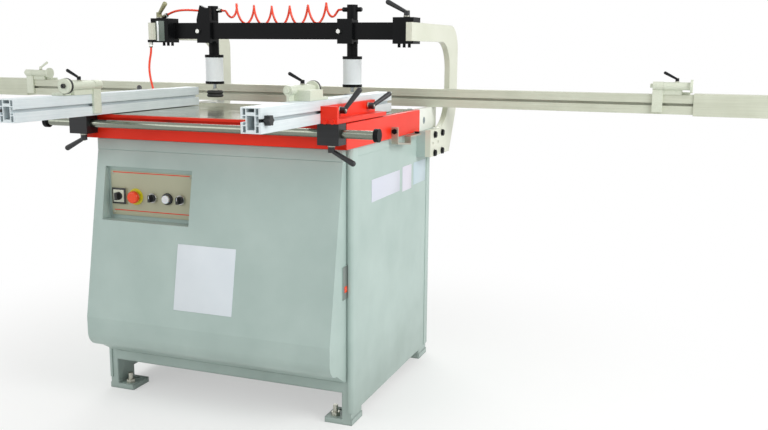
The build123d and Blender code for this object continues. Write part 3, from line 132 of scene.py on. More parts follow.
def add_relief(tree, shader, height, strength, depth, edge):
    """A bump on rounded edges: its depth and the edges' radius are in millimetres."""
    soft_edge = add(tree, "ShaderNodeBevel", {"samples": 4}, {"Radius": edge * MM}).outputs["Normal"]
    sockets = {"Strength": strength, "Distance": depth * MM, "Height": height, "Normal": soft_edge}
    bump = add(tree, "ShaderNodeBump", {}, sockets).outputs["Normal"]
    tree.links.new(bump, shader.inputs["Normal"])


def seen_rays(tree):
    """1 for what the eye, a mirror or a window sees, and 0 for all other light."""
    rays = add(tree, "ShaderNodeLightPath", {}, {}).outputs
    seen = rays["Is Camera Ray"]
    for kind in ("Is Glossy Ray", "Is Transmission Ray"):
        sockets = {0: seen, 1: rays[kind]}
        seen = add(tree, "ShaderNodeMath", {"operation": "MAXIMUM"}, sockets).outputs["Value"]
    return seen


# %% [markdown]
# The machine stands on a pale floor that fades to white, as in a catalogue picture. The fade is by
# distance from the machine, so it is the same from every side, and only what the eye, a mirror or a
# window sees turns white: the floor near the machine still takes its shadow.

# %% Floor and surroundings
FLOOR_RADIUS = 14
FLOOR_DROP = 0.0006
FADE_FROM = 0.6
FADE_TO = 1.9
FADE_NEAR = 0.45


def make_floor():
    mesh = bpy.data.meshes.new("studio_floor")
    shape = bmesh.new()
    bmesh.ops.create_circle(shape, cap_ends=True, segments=96, radius=FLOOR_RADIUS)
    bmesh.ops.translate(shape, verts=shape.verts, vec=(0, 0, -FLOOR_DROP))
    shape.to_mesh(mesh)
    shape.free()
    floor = bpy.data.objects.new("studio_floor", mesh)
    bpy.context.scene.collection.objects.link(floor)
    material = bpy.data.materials.new("pale_studio_floor")
    material.use_nodes = True
    tree = material.node_tree
    tree.nodes.clear()
    place = add(tree, "ShaderNodeTexCoord", {}, {}).outputs["Object"]
    distance = add(tree, "ShaderNodeVectorMath", {"operation": "LENGTH"}, {0: place}).outputs["Value"]
    fade = add(tree, "ShaderNodeMapRange", {"interpolation_type": "SMOOTHSTEP"},
               {"Value": distance, "From Min": FADE_FROM, "From Max": FADE_TO,
                "To Min": FADE_NEAR}).outputs["Result"]
    share = add(tree, "ShaderNodeMath", {"operation": "MULTIPLY"},
                {0: fade, 1: seen_rays(tree)}).outputs["Value"]
    matt = add(tree, "ShaderNodeBsdfDiffuse", {}, {"Color": linear("#F3F4F2")}).outputs["BSDF"]
    white = add(tree, "ShaderNodeEmission", {}, {"Color": (1, 1, 1, 1), "Strength": 1.0}).outputs["Emission"]
    mixed = add(tree, "ShaderNodeMixShader", {}, {0: share, 1: matt, 2: white}).outputs["Shader"]
    add(tree, "ShaderNodeOutputMaterial", {}, {"Surface": mixed})
    mesh.materials.append(material)
    return floor


make_floor()

WORLD_LIGHT = 0.58
world = bpy.data.worlds.new("white_studio")
bpy.context.scene.world = world
world.use_nodes = True
world.node_tree.nodes.clear()
strength = add(world.node_tree, "ShaderNodeMapRange", {},
               {"Value": seen_rays(world.node_tree), "To Min": WORLD_LIGHT, "To Max": 1.0}).outputs["Result"]
sky = add(world.node_tree, "ShaderNodeBackground", {}, {"Color": (1, 1, 1, 1), "Strength": strength})
add(world.node_tree, "ShaderNodeOutputWorld", {}, {"Surface": sky.outputs["Background"]})
print("surroundings light", WORLD_LIGHT)

# %% [markdown]
# Soft boxes do the rest: a large one high on the right, because the photograph's right-hand faces are
# the bright ones, a weaker one on the left front, and one behind for the edges of the back views.

# %% Soft boxes
def soft_box(name, place, aim, size, power):
    """A square lamp at a place, aimed at a point: its size in metres and its power in watts."""
    data = bpy.data.lights.new(name, "AREA")
    data.shape = "SQUARE"
    data.size = size
    data.energy = power
    lamp = bpy.data.objects.new(name, data)
    lamp.location = place
    lamp.rotation_euler = (Vector(aim) - Vector(place)).to_track_quat("-Z", "Y").to_euler()
    bpy.context.scene.collection.objects.link(lamp)


soft_box("key_soft_box", place=(4.2, -1.2, 2.8), aim=(0, 0, 0.7), size=2.2, power=119)
soft_box("fill_soft_box", place=(-2.4, -3.8, 2.6), aim=(0, 0, 0.7), size=2.6, power=42)
soft_box("rear_soft_box", place=(-1.5, 3.6, 3.2), aim=(0, 0.2, 0.8), size=2.6, power=70)

# %% [markdown]
# Three red polyurethane air hoses, 8 mm thick: the supply hose from the left side panel up to the beam,
# the link hose from the beam to the left head, and the spiral hose between the two heads. Each hose is a
# mesh tube. Its centre line is a smooth NURBS curve through the same points as the solid, and the curve
# itself gives the tube.

# %% Hose routes in millimetres
HOSE = 8
SUPPLY_ROUTE = [
    (-511, 22, 1158.7), (-511, 22, 1138), (-518, 20, 1108), (-521, 19, 1075), (-516, 20, 1035),
    (-507, 25, 990), (-497, 36, 945), (-487, 52, 903), (-478, 66, 868), (-478, 66, 846.3),
]
LINK_ROUTE = [
    (-473.04, 74, 1271.61), (-450.38, 74, 1282.17), (-424, 80, 1288.5), (-394, 94, 1290.5),
    (-362, 112, 1288), (-333.5, 112, 1288),
]
SPIRAL_FROM = -268.5
SPIRAL_TO = 215.5
SPIRAL_RUN = 8
SPIRAL_TURNS = 7
SPIRAL_END_TURN = 57
SPIRAL_HALF_DEPTH = 22
SPIRAL_HALF_HEIGHT = 33
SPIRAL_SAG = 20
SPIRAL_AXIS = (112, 1288)
POINTS_A_TURN = 24


def spiral_route():
    """Points of the spiral hose: a straight end, turns that open and close, and a straight end."""
    first = SPIRAL_FROM + SPIRAL_RUN
    last = SPIRAL_TO - SPIRAL_RUN
    opened = first + SPIRAL_END_TURN
    closing = last - SPIRAL_END_TURN
    middle_turns = SPIRAL_TURNS - 2
    route = [(SPIRAL_FROM, *SPIRAL_AXIS)]
    for step in range(SPIRAL_TURNS * POINTS_A_TURN + 1):
        turns = step / POINTS_A_TURN
        opening = min(1, turns, SPIRAL_TURNS - turns)
        opening = opening * opening * (3 - 2 * opening)
        along = turns / SPIRAL_TURNS
        sag = SPIRAL_SAG * 4 * along * (1 - along)
        y = SPIRAL_AXIS[0] - opening * SPIRAL_HALF_DEPTH * sin(tau * turns)
        z = SPIRAL_AXIS[1] - sag + opening * SPIRAL_HALF_HEIGHT * cos(tau * turns)
        middle = opened + (closing - opened) * (turns - 1) / middle_turns
        start = first + SPIRAL_END_TURN * turns
        end = last - SPIRAL_END_TURN * (SPIRAL_TURNS - turns)
        x = start if turns < 1 else end if turns > SPIRAL_TURNS - 1 else middle
        route.append((x, y, z))
    return route + [(SPIRAL_TO, *SPIRAL_AXIS)]


# %% Tubes on smooth curves
def hose_tube(name, route):
    """A hose as a mesh tube, and the points of its centre line."""
    curve = bpy.data.curves.new(name + "_line", "CURVE")
    curve.dimensions = "3D"
    curve.resolution_u = 6
    spline = curve.splines.new("NURBS")
    spline.points.add(len(route) - 1)
    for point, place in zip(spline.points, route):
        point.co = (*(Vector(place) * MM), 1)
    spline.order_u = 3
    spline.use_endpoint_u = True
    guide = bpy.data.objects.new(name + "_line", curve)
    bpy.context.scene.collection.objects.link(guide)
    bpy.context.view_layer.update()
    line = bpy.data.meshes.new_from_object(guide.evaluated_get(bpy.context.evaluated_depsgraph_get()))
    path = [tuple(vertex.co) for vertex in line.vertices]
    bpy.data.meshes.remove(line)
    curve.bevel_depth = HOSE / 2 * MM
    curve.bevel_resolution = 4
    curve.use_fill_caps = True
    bpy.context.view_layer.update()
    tube = bpy.data.meshes.new_from_object(guide.evaluated_get(bpy.context.evaluated_depsgraph_get()))
    bpy.data.objects.remove(guide)
    shape = bmesh.new()
    shape.from_mesh(tube)
    bmesh.ops.remove_doubles(shape, verts=shape.verts, dist=1e-6)
    bmesh.ops.recalc_face_normals(shape, faces=shape.faces)
    for face in shape.faces:
        face.smooth = len(face.verts) == 4
    shape.to_mesh(tube)
    shape.free()
    tube.name = name
    hose = bpy.data.objects.new(name, tube)
    bpy.context.scene.collection.objects.link(hose)
    length = sum((Vector(b) - Vector(a)).length for a, b in zip(path, path[1:]))
    print(name, "length", round(length, 3), "faces", len(tube.polygons))
    return hose, path


hoses = {}
for name, route, length, lay, ends in (
    ("supply_air_hose", SUPPLY_ROUTE, 0.324, "hanging",
     ("root", "beam", (-478, 66, 862), (-511, 22, 1140))),
    ("link_air_hose", LINK_ROUTE, 0.150, "hanging",
     ("beam", "left_head", (-460, 74, 1277), (-345, 112, 1288))),
    ("spiral_air_hose", spiral_route(), 1.238, "coiled",
     ("left_head", "right_head", (-262, 112, 1288), (209, 112, 1288))),
):
    hose, path = hose_tube(name, route)
    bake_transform(hose)
    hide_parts(name.replace("_air", ""))
    hoses[name] = hose

# %% [markdown]
# Now the finishes. The cabinet is sheet steel with a powder coat: a soft half-gloss with a slight orange
# peel, a little cloudy in colour, and greyer towards the floor where dust and boots reach it. The same
# recipe in other colours gives the red table, the cream arms and the grey drive, so it is one function.
# A Bevel node rounds the sharp edges of the solids for the light, which a real folded edge also does.

# %% Painted steel
def painted_steel(name, colour, cloudy, gloss, peel, dusty=0.0, edge=1.2, shine=0.5):
    """Paint on steel: colour, a cloudier tone of it, roughness, orange peel depth and dust near the floor."""
    material, tree, shader = new_finish(name)
    place = add(tree, "ShaderNodeTexCoord", {}, {}).outputs["Object"]
    # Clouds about 180 mm across: the spray passes of the coat.
    clouds = noise(tree, place, 0.18, 4.0)
    tone = add(tree, "ShaderNodeMapRange", {},
               {"Value": clouds, "From Min": 0.3, "From Max": 0.7}).outputs["Result"]
    paint = mix_colours(tree, tone, linear(colour), linear(cloudy))
    if dusty:
        # Dust gathers in the lowest 300 mm and thins out unevenly.
        height = add(tree, "ShaderNodeSeparateXYZ", {}, {"Vector": place}).outputs["Z"]
        low = add(tree, "ShaderNodeMapRange", {}, {"Value": height, "From Min": 0.30, "From Max": 0.02,
                                                   "To Max": dusty}).outputs["Result"]
        patchy = add(tree, "ShaderNodeMath", {"operation": "MULTIPLY"}, {0: low, 1: clouds}).outputs["Value"]
        paint = mix_colours(tree, patchy, paint, linear("#6F6C62"))
    tree.links.new(paint, shader.inputs["Base Color"])
    # Real orange peel is about 2 mm; drawn at 7 mm so that it shows at this picture's size.
    grain = noise(tree, place, 0.007, 2.0)
    sheen = add(tree, "ShaderNodeMapRange", {},
                {"Value": clouds, "To Min": gloss - 0.05, "To Max": gloss + 0.08})
    tree.links.new(sheen.outputs["Result"], shader.inputs["Roughness"])
    add_relief(tree, shader, grain, 0.25, peel, edge)
    shader.inputs["IOR"].default_value = 1.5
    shader.inputs["Specular IOR Level"].default_value = shine
    return material


cabinet_paint = painted_steel("powder_coated_cabinet_steel", "#AEC0BA", "#A3B6B0", 0.42, 0.10, dusty=0.4)
# The stand is bent from thick strip, so its edges are rounder than those of the sheet.
stand_paint = painted_steel("powder_coated_stand_strip", "#AEC0BA", "#A3B6B0", 0.42, 0.10, dusty=0.4,
                            edge=9.0)
red_paint = painted_steel("red_enamelled_steel", "#F03016", "#E62A11", 0.34, 0.06, shine=0.25)
cream_paint = painted_steel("cream_enamelled_plate", "#D9DBCB", "#CFD2BF", 0.38, 0.08, edge=2.0)
# The rear side plates are near white: a painted highlight for the strong light from the right that washes
# them out.
painted_highlight_white = painted_steel("white_enamelled_plate", "#EBEDE6", "#E3E6DD", 0.38, 0.08, edge=2.0)
panel_paint = painted_steel("tan_lacquered_panel_steel", "#B4B49A", "#ABAB91", 0.45, 0.05, edge=0.6)
drive_paint = painted_steel("grey_machine_enamel", "#7F8B90", "#747F84", 0.42, 0.10)
print("paints", [m.name for m in bpy.data.materials if "steel" in m.name or "enamel" in m.name])

# %% [markdown]
# Bare metals come next. Ground and drawn metal shows fine parallel lines along the way that it was worked,
# so a noise is stretched along that axis: rollers draw the fences along their length, a grinding wheel
# crosses the table. The lines change the roughness and a shallow bump, which is what makes metal look worked.

# %% Worked metals
def worked_metal(name, colour, shade, rough, along, line, depth, metallic=1.0, edge=0.8, stretch=60):
    """Bare metal with lines along one axis: line is their spacing and depth their depth, in millimetres."""
    material, tree, shader = new_finish(name)
    place = add(tree, "ShaderNodeTexCoord", {}, {}).outputs["Object"]
    spread = [1 / (line * MM)] * 3
    spread[along] /= stretch
    lines_at = add(tree, "ShaderNodeMapping", {}, {"Vector": place, "Scale": spread}).outputs["Vector"]
    lines = noise(tree, lines_at, 1.0, 3.0)
    stains = noise(tree, place, 0.09, 3.0)
    both = add(tree, "ShaderNodeMath", {"operation": "ADD"}, {0: lines, 1: stains}).outputs["Value"]
    tone = add(tree, "ShaderNodeMapRange", {},
               {"Value": both, "From Min": 0.7, "From Max": 1.3}).outputs["Result"]
    metal = mix_colours(tree, tone, linear(colour), linear(shade))
    tree.links.new(metal, shader.inputs["Base Color"])
    gloss = add(tree, "ShaderNodeMapRange", {},
                {"Value": both, "From Min": 0.7, "From Max": 1.3,
                 "To Min": rough - 0.06, "To Max": rough + 0.08}).outputs["Result"]
    tree.links.new(gloss, shader.inputs["Roughness"])
    add_relief(tree, shader, lines, 0.3, depth, edge)
    shader.inputs["Metallic"].default_value = metallic
    return material


# Drawn lines are finer than a pixel here, so they are spaced a few millimetres apart.
fence_along_x = worked_metal("aluminium_drawn_along_x", "#CDD1BF", "#BEC2AF", 0.46, 0, 3.0, 0.05, 0.2)
fence_along_y = worked_metal("aluminium_drawn_along_y", "#E2EBED", "#D3DDE0", 0.44, 1, 3.0, 0.05, 0.2)
table_steel = worked_metal("ground_table_steel", "#989C86", "#868973", 0.14, 0, 2.5, 0.01)
bright_steel = worked_metal("turned_bright_steel", "#C4C5C3", "#A5A6A4", 0.28, 2, 2.0, 0.03, edge=0.5)
cast_stop = worked_metal("tumbled_cast_aluminium", "#DCE1D1", "#CBD1BE", 0.48, 2, 4.0, 0.15, 0.2,
                         stretch=1, edge=1.5)
barrel_metal = worked_metal("anodised_cylinder_barrel", "#D9DCDC", "#C8CCCC", 0.38, 2, 2.5, 0.03, 0.5)
zinc_steel = worked_metal("zinc_plated_steel", "#C6C6BC", "#A9A99C", 0.34, 2, 3.0, 0.04, stretch=1)
black_metal = worked_metal("blackened_steel", "#1B1D1F", "#111214", 0.40, 0, 4.0, 0.06, 0.15, edge=1.2)
print("metals", len(bpy.data.materials))

# %% [markdown]
# Moulded plastics and rubber: levers and knobs are glass-filled nylon with a fine spark-eroded grain, the
# stop button is glossy red ABS and the pressure feet are black rubber. The hose is polyurethane, which is
# smooth and lets a little light into its skin, so it gets some subsurface light instead of plain paint.

# %% Plastics, rubber and hose
def moulded(name, colour, shade, rough, grain, depth, ior=1.5, glow=0.0):
    """A moulded surface: grain is the texture's size and depth its depth, in millimetres."""
    material, tree, shader = new_finish(name)
    place = add(tree, "ShaderNodeTexCoord", {}, {}).outputs["Object"]
    speckle = noise(tree, place, grain * MM, 3.0)
    tone = add(tree, "ShaderNodeMapRange", {},
               {"Value": speckle, "From Min": 0.35, "From Max": 0.65}).outputs["Result"]
    mixed = mix_colours(tree, tone, linear(colour), linear(shade))
    tree.links.new(mixed, shader.inputs["Base Color"])
    gloss = add(tree, "ShaderNodeMapRange", {},
                {"Value": speckle, "To Min": rough - 0.06, "To Max": rough + 0.06})
    tree.links.new(gloss.outputs["Result"], shader.inputs["Roughness"])
    add_relief(tree, shader, speckle, 0.3, depth, 0.8)
    shader.inputs["IOR"].default_value = ior
    shader.inputs["Subsurface Weight"].default_value = glow
    shader.inputs["Subsurface Scale"].default_value = 2 * MM
    return material


black_plastic = moulded("glass_filled_black_nylon", "#1A1B1D", "#232527", 0.42, 3.0, 0.08)
red_plastic = moulded("glossy_red_abs", "#F04A1E", "#E5420F", 0.26, 4.0, 0.02, glow=0.1)
white_plastic = moulded("white_polycarbonate_lens", "#E4E6E8", "#D8DADD", 0.22, 4.0, 0.01, 1.58, glow=0.2)
yellow_plastic = moulded("yellow_abs", "#D6CF1C", "#C7BE14", 0.35, 4.0, 0.02)
hose_plastic = moulded("red_polyurethane_hose", "#FF5230", "#FA4724", 0.30, 6.0, 0.01, glow=0.25)
olive_plastic = moulded("faded_olive_nylon", "#A6A57E", "#979671", 0.40, 3.0, 0.08)
black_rubber = moulded("moulded_black_rubber", "#232322", "#2D2D2B", 0.62, 2.5, 0.10, 1.52)
for hose in hoses.values():
    hose.data.materials.clear()
    hose.data.materials.append(hose_plastic)
print("plastics done")

# %% [markdown]
# Some solids carry two finishes: a cylinder has blackened caps on a pale barrel, a stop has a black lever
# on a cast body, a head has a nickel bolt and fittings. Splitting the mesh would need new objects,
# so the place decides: boxes in the solid's own coordinates pick out what has the second finish.

# %% Two finishes on one solid
def two_finishes(name, first, second, boxes, edge=0.8):
    """Each finish is colour, shade, roughness and metallic; boxes have limits by axis, or None."""
    material, tree, shader = new_finish(name)
    place = add(tree, "ShaderNodeTexCoord", {}, {}).outputs["Object"]
    axes = add(tree, "ShaderNodeSeparateXYZ", {}, {"Vector": place}).outputs
    share = None
    for box in boxes:
        inside = None
        for axis, limits in zip(axes, box):
            if limits is None:
                continue
            middle = (limits[0] + limits[1]) / 2 * MM
            half = (limits[1] - limits[0]) / 2 * MM
            test = add(tree, "ShaderNodeMath", {"operation": "COMPARE"},
                       {0: axis, 1: middle, 2: half}).outputs["Value"]
            if inside is not None:
                test = add(tree, "ShaderNodeMath", {"operation": "MULTIPLY"},
                           {0: inside, 1: test}).outputs["Value"]
            inside = test
        if share is not None:
            inside = add(tree, "ShaderNodeMath", {"operation": "MAXIMUM"},
                         {0: share, 1: inside}).outputs["Value"]
        share = inside
    # A mottle about 5 mm across keeps both finishes from looking flat.
    grain = noise(tree, place, 0.005, 3.0)
    tones = [mix_colours(tree, grain, linear(tone[0]), linear(tone[1])) for tone in (first, second)]
    colour = mix_colours(tree, share, *tones)
    tree.links.new(colour, shader.inputs["Base Color"])
    metal = add(tree, "ShaderNodeMapRange", {}, {"Value": share, "To Min": first[3], "To Max": second[3]})
    tree.links.new(metal.outputs["Result"], shader.inputs["Metallic"])
    gloss = add(tree, "ShaderNodeMapRange", {}, {"Value": share, "To Min": first[2], "To Max": second[2]})
    rough = add(tree, "ShaderNodeMath", {"operation": "MULTIPLY_ADD"},
                {0: grain, 1: 0.12, 2: gloss.outputs["Result"]}).outputs["Value"]
    tree.links.new(rough, shader.inputs["Roughness"])
    add_relief(tree, shader, grain, 0.25, 0.05, edge)
    shader.inputs["Specular IOR Level"].default_value = 0.12
    return material


BLACK_STEEL = ("#0A0B0C", "#131416", 0.40, 0.0)
NICKEL = ("#CFD0CB", "#B6B7B2", 0.18, 1.0)
PALE_BARREL = ("#F4F8FA", "#EAF0F2", 0.30, 0.0)
CAST_BODY = ("#DCE1D1", "#CBD1BE", 0.42, 0.15)
ZINC = ("#C6C6BC", "#A9A99C", 0.30, 0.9)
BLACK_NYLON = ("#18191B", "#242628", 0.36, 0.0)
ROD_CHROME = ("#A9AEB0", "#8F9598", 0.12, 1.0)
# The guide rod's chrome is darkened: a painted dark reflection of the surroundings that it mirrors.
ROD_PAINTED_DARK_REFLECTION = ("#8E9286", "#767B70", 0.14, 1.0)
FOOT_RUBBER = ("#232322", "#2D2D2B", 0.55, 0.0)
STRAP_STEEL = ("#C2BEAF", "#A6A294", 0.30, 0.8)
port_z = (1279, 1297)
port_y = (103, 121)
head_bolt = (None, (30, 41.6), None)
lever_z = (1055.05, 1130)
cylinder_caps = [(None, None, (1020, 1034)), (None, None, (1120, 1132))]
foot_rod = (None, None, (1000.1, 1140))
rod_collars = [((559.9, 580), None, None), ((-580, -559.9), None, None)]
levelling_bolts = (None, None, (0, 80))
strap_bolts = [(None, (-90, -69.05), None), (None, (140, 180), (868.05, 880))]
back_lever = ((1262, 1323), None, lever_z)
side_levers = [(None, (-597, -577), lever_z), (None, (-500, -480), lever_z)]
beam_elbow = ((-503, -470), (65, 83), (1258.4, 1282))
beam_inlet = ((-521, -503.1), None, (1150, 1172.6))
left_ports = [((-335, -319.6), port_y, port_z), ((-282.4, -267), port_y, port_z)]
beam_finish = two_finishes("blackened_beam_with_nickel_fittings", BLACK_STEEL, NICKEL,
                           [beam_elbow, beam_inlet], 1.2)
left_head_finish = two_finishes("blackened_left_clamp_with_bolt", BLACK_STEEL, NICKEL,
                                [head_bolt, *left_ports], 1.0)
right_head_finish = two_finishes("blackened_right_clamp_with_bolt", BLACK_STEEL, NICKEL, [head_bolt], 1.0)
cylinder_finish = two_finishes("anodised_barrel_with_black_caps", PALE_BARREL, BLACK_STEEL, cylinder_caps)
foot_finish = two_finishes("rubber_foot_on_chromed_rod", FOOT_RUBBER, ROD_CHROME, [foot_rod])
# The guide rod carries the painted dark reflection; its collars are black.
rod_finish = two_finishes("guide_rod_painted_dark_reflection_with_black_collars", ROD_PAINTED_DARK_REFLECTION, BLACK_STEEL, rod_collars)
bolt_finish = two_finishes("black_bolts_and_zinc_levelling_bolts", BLACK_STEEL, ZINC, [levelling_bolts])
strap_finish = two_finishes("bare_strap_with_black_bolts", STRAP_STEEL, BLACK_STEEL, strap_bolts)
back_stop_finish = two_finishes("cast_back_stop_with_black_lever", CAST_BODY, BLACK_NYLON, [back_lever])
side_stop_finish = two_finishes("cast_side_stop_with_black_lever", CAST_BODY, BLACK_NYLON, side_levers)
print("finishes", len(bpy.data.materials))

# %% Finishes on the solids
finishes = {
    "base_frame": stand_paint, "left_side_panel": cabinet_paint, "right_side_panel": cabinet_paint,
    "rear_cover": cabinet_paint, "front_cover": cabinet_paint, "control_panel": panel_paint,
    "table_frame": red_paint, "rear_side_plates": painted_highlight_white, "table_plate": table_steel,
    "guide_rod": rod_finish, "back_fence": fence_along_x, "fixing_bolts": bolt_finish,
    "left_arm": cream_paint, "right_arm": cream_paint, "tilt_lock_strap": strap_finish,
    "tilt_cradle": drive_paint, "gear_case": drive_paint, "drive_motor": drive_paint,
    "feed_cylinders": barrel_metal, "drill_spindles": bright_steel, "drive_spindle": bright_steel,
    "hold_down_beam": beam_finish, "main_switch_knob": black_plastic, "stop_button": red_plastic,
    "push_button": white_plastic, "selector_1": black_plastic, "selector_2": black_plastic,
}
for side in ("left", "right"):
    finishes[side + "_clamp_head"] = left_head_finish if side == "left" else right_head_finish
    finishes[side + "_cylinder"] = cylinder_finish
    finishes[side + "_pressure_foot"] = foot_finish
    finishes[side + "_beam_lever"] = olive_plastic if side == "left" else black_plastic
    finishes[side + "_block_lever"] = black_plastic
    finishes[side + "_slide_block"] = black_metal
    finishes[side + "_fence_bracket"] = red_paint
    finishes[side + "_front_bracket_lever"] = black_plastic
    finishes[side + "_rear_bracket_lever"] = black_plastic
    finishes[side + "_side_fence"] = fence_along_y
    finishes[side + "_end_knob"] = black_plastic
    finishes[f"back_{side}_stop_body"] = back_stop_finish
    finishes[f"side_{side}_stop_body"] = side_stop_finish
    for fence in ("back", "side"):
        finishes[f"{fence}_{side}_stop_arm"] = cast_stop
for node, finish in finishes.items():
    nodes[node].data.materials.clear()
    nodes[node].data.materials.append(finish)
left_over = sorted(set(nodes) - set(finishes) - {"supply_hose", "link_hose", "spiral_hose"})
print("finished nodes", len(finishes), "left over", left_over)

# %% [markdown]
# The pieces that follow are small: plates, rings, screws, fittings. Two forms make nearly all of them. A
# turned form is a half outline spun about an axis, as on a lathe. A bevelled block is a cube scaled to
# size whose edges are then bevelled, because a perfectly sharp edge never catches the light.

# %% Helpers for small pieces
def turned(shape, outline, place, axis, steps=32, closed=False):
    """Spins an outline of (radius, height) points in millimetres about an axis through a place."""
    seat = Matrix.Translation(Vector(place) * MM) @ Vector(axis).to_track_quat("Z", "Y").to_matrix().to_4x4()
    points = [shape.verts.new(seat @ (Vector((radius, 0, height)) * MM)) for radius, height in outline]
    edges = [shape.edges.new(pair) for pair in zip(points, points[1:])]
    if closed:
        edges.append(shape.edges.new((points[-1], points[0])))
    way = seat.to_3x3() @ Vector((0, 0, 1))
    bmesh.ops.spin(shape, geom=points + edges, cent=seat.translation, axis=way, angle=tau, steps=steps,
                   use_merge=True, use_duplicate=False)
    bmesh.ops.remove_doubles(shape, verts=shape.verts, dist=1e-7)


def bevelled_block(shape, low, high, edge, lean=0.0):
    """A block between two corners in millimetres, with bevelled edges, leaning back about its middle."""
    middle = (Vector(low) + Vector(high)) / 2 * MM
    size = (Vector(high) - Vector(low)) * MM
    verts = bmesh.ops.create_cube(shape, size=1)["verts"]
    bmesh.ops.scale(shape, vec=size, verts=verts)
    edges = list(dict.fromkeys(side for vert in verts for side in vert.link_edges))
    made = bmesh.ops.bevel(shape, geom=edges, offset=edge * MM, offset_type="OFFSET", segments=2, profile=0.5,
                           affect="EDGES", material=-1)["verts"]
    bmesh.ops.rotate(shape, verts=made, cent=(0, 0, 0), matrix=Matrix.Rotation(-lean, 3, "X"))
    bmesh.ops.translate(shape, verts=made, vec=middle)


def new_piece(name, shape, body, finish):
    """Makes an object of a finished shape, in place, that rides on a body."""
    bmesh.ops.recalc_face_normals(shape, faces=shape.faces)
    for face in shape.faces:
        face.smooth = True
    mesh = bpy.data.meshes.new(name)
    shape.to_mesh(mesh)
    shape.free()
    mesh.set_sharp_from_angle(angle=radians(35))
    mesh.materials.append(finish)
    piece = bpy.data.objects.new(name, mesh)
    bpy.context.scene.collection.objects.link(piece)
    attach(piece, body)


def turned_piece(name, spins, body, finish):
    """A piece of turned forms: each spin has its outline, place, axis, steps and whether it is closed."""
    shape = bmesh.new()
    for spin in spins:
        turned(shape, *spin)
    new_piece(name, shape, body, finish)


def block_piece(name, blocks, edge, body, finish):
    """A piece of bevelled blocks: each block has its limits in X, Y and Z."""
    shape = bmesh.new()
    for block in blocks:
        bevelled_block(shape, *zip(*block), edge)
    new_piece(name, shape, body, finish)


def extruded(outline, way):
    """A prism: an outline of points in millimetres, extruded along a way."""
    shape = bmesh.new()
    end = shape.faces.new([shape.verts.new(Vector(point) * MM) for point in outline])
    swept = bmesh.ops.extrude_face_region(shape, geom=[end])["geom"]
    moved = [item for item in swept if isinstance(item, bmesh.types.BMVert)]
    bmesh.ops.translate(shape, verts=moved, vec=Vector(way) * MM)
    return shape


# %% [markdown]
# The front cover is one folded sheet in the solid. On the real one the top is hemmed: above the fold the
# sheet stands upright, so it looks darker than the slope below. A prism with a three-cornered outline,
# extruded along the cover, gives that hem. The maker's sign on the slope is kept as a bare white plate.

# %% Front cover: hem and bare sign plate
COVER_HALF = 432
SLOPE_LOW = Vector((0, -503, 290))
SLOPE_HIGH = Vector((0, -398, 865))
HEM_LOW = 829
HEM_TOP = 864.6
slope = (SLOPE_HIGH - SLOPE_LOW).normalized()
slope_lean = atan2(slope.y, slope.z)


def on_slope(x, z, out):
    """A point on the cover's slope at a height, moved out of the sheet."""
    share = (z - SLOPE_LOW.z) / (SLOPE_HIGH.z - SLOPE_LOW.z)
    point = SLOPE_LOW.lerp(SLOPE_HIGH, share)
    return Vector((x, point.y - out * slope.z, point.z + out * slope.y))


def make_hem():
    front = on_slope(-COVER_HALF, HEM_LOW, 0.6).y
    corners = [(front, HEM_LOW), (front, HEM_TOP), (SLOPE_HIGH.y, HEM_TOP)]
    return extruded([(-COVER_HALF, *corner) for corner in corners], (2 * COVER_HALF, 0, 0))


SIGN_X = (-107, 100)
SIGN_Z = (346, 550)


def make_sign():
    shape = bmesh.new()
    middle = on_slope(sum(SIGN_X) / 2, sum(SIGN_Z) / 2, 0.8)
    half = Vector(((SIGN_X[1] - SIGN_X[0]) / 2, 0.8, (SIGN_Z[1] - SIGN_Z[0]) / 2 / slope.z))
    bevelled_block(shape, middle - half, middle + half, 0.5, slope_lean)
    return shape


new_piece("cover_hem", make_hem(), "root", cabinet_paint)
white_enamel = painted_steel("white_enamelled_sign_sheet", "#DCE3E8", "#D2DAE0", 0.30, 0.03, edge=0.5)
new_piece("bare_sign_plate", make_sign(), "root", white_enamel)
print("slope leans", round(slope_lean * 180 / pi, 2), "degrees")

# %% [markdown]
# The side panels are folded too: a raised rim runs along the top and down the rear edge, and the front
# edge is wrapped round the post with a soft bend that catches the light. The bend is an outline with a
# quarter circle, extruded upward. The right panel carries three stickers in the photograph; they stay bare
# here, in their own pale tints.

# %% Side panels: rims and bare stickers
PANEL_FACE = 450
RIM = 2
FILM_X = (PANEL_FACE + 0.05, PANEL_FACE + 0.7)
RIM_BANDS = (((-375, 217), (840, 869)), ((338, 375), (40, 777)))
STICKERS = {
    "large": ((-217, 47), (681, 753), "#CDD0DC"),
    "middle": ((73, 169), (673, 759), "#D2CFDB"),
    "small": ((191, 327), (681, 760), "#B9CAD2"),
}
FOLD_OUT = 4
FOLD_RADIUS = 13
FOLD_FRONT = -376
FOLD_REAR = -340
FOLD_INNER = 438
FOLD_Z = (40, 868)


def make_fold(way):
    outline = [(FOLD_INNER, FOLD_FRONT), (FOLD_INNER, FOLD_FRONT - FOLD_OUT)]
    bend = (PANEL_FACE + FOLD_OUT - FOLD_RADIUS, FOLD_FRONT - FOLD_OUT + FOLD_RADIUS)
    for step in range(9):
        angle = pi / 2 * step / 8
        outline.append((bend[0] + FOLD_RADIUS * sin(angle), bend[1] - FOLD_RADIUS * cos(angle)))
    outline += [(PANEL_FACE + FOLD_OUT, FOLD_REAR), (PANEL_FACE, FOLD_REAR), (PANEL_FACE, FOLD_FRONT)]
    return extruded([(way * x, y, FOLD_Z[0]) for x, y in outline], (0, 0, FOLD_Z[1] - FOLD_Z[0]))


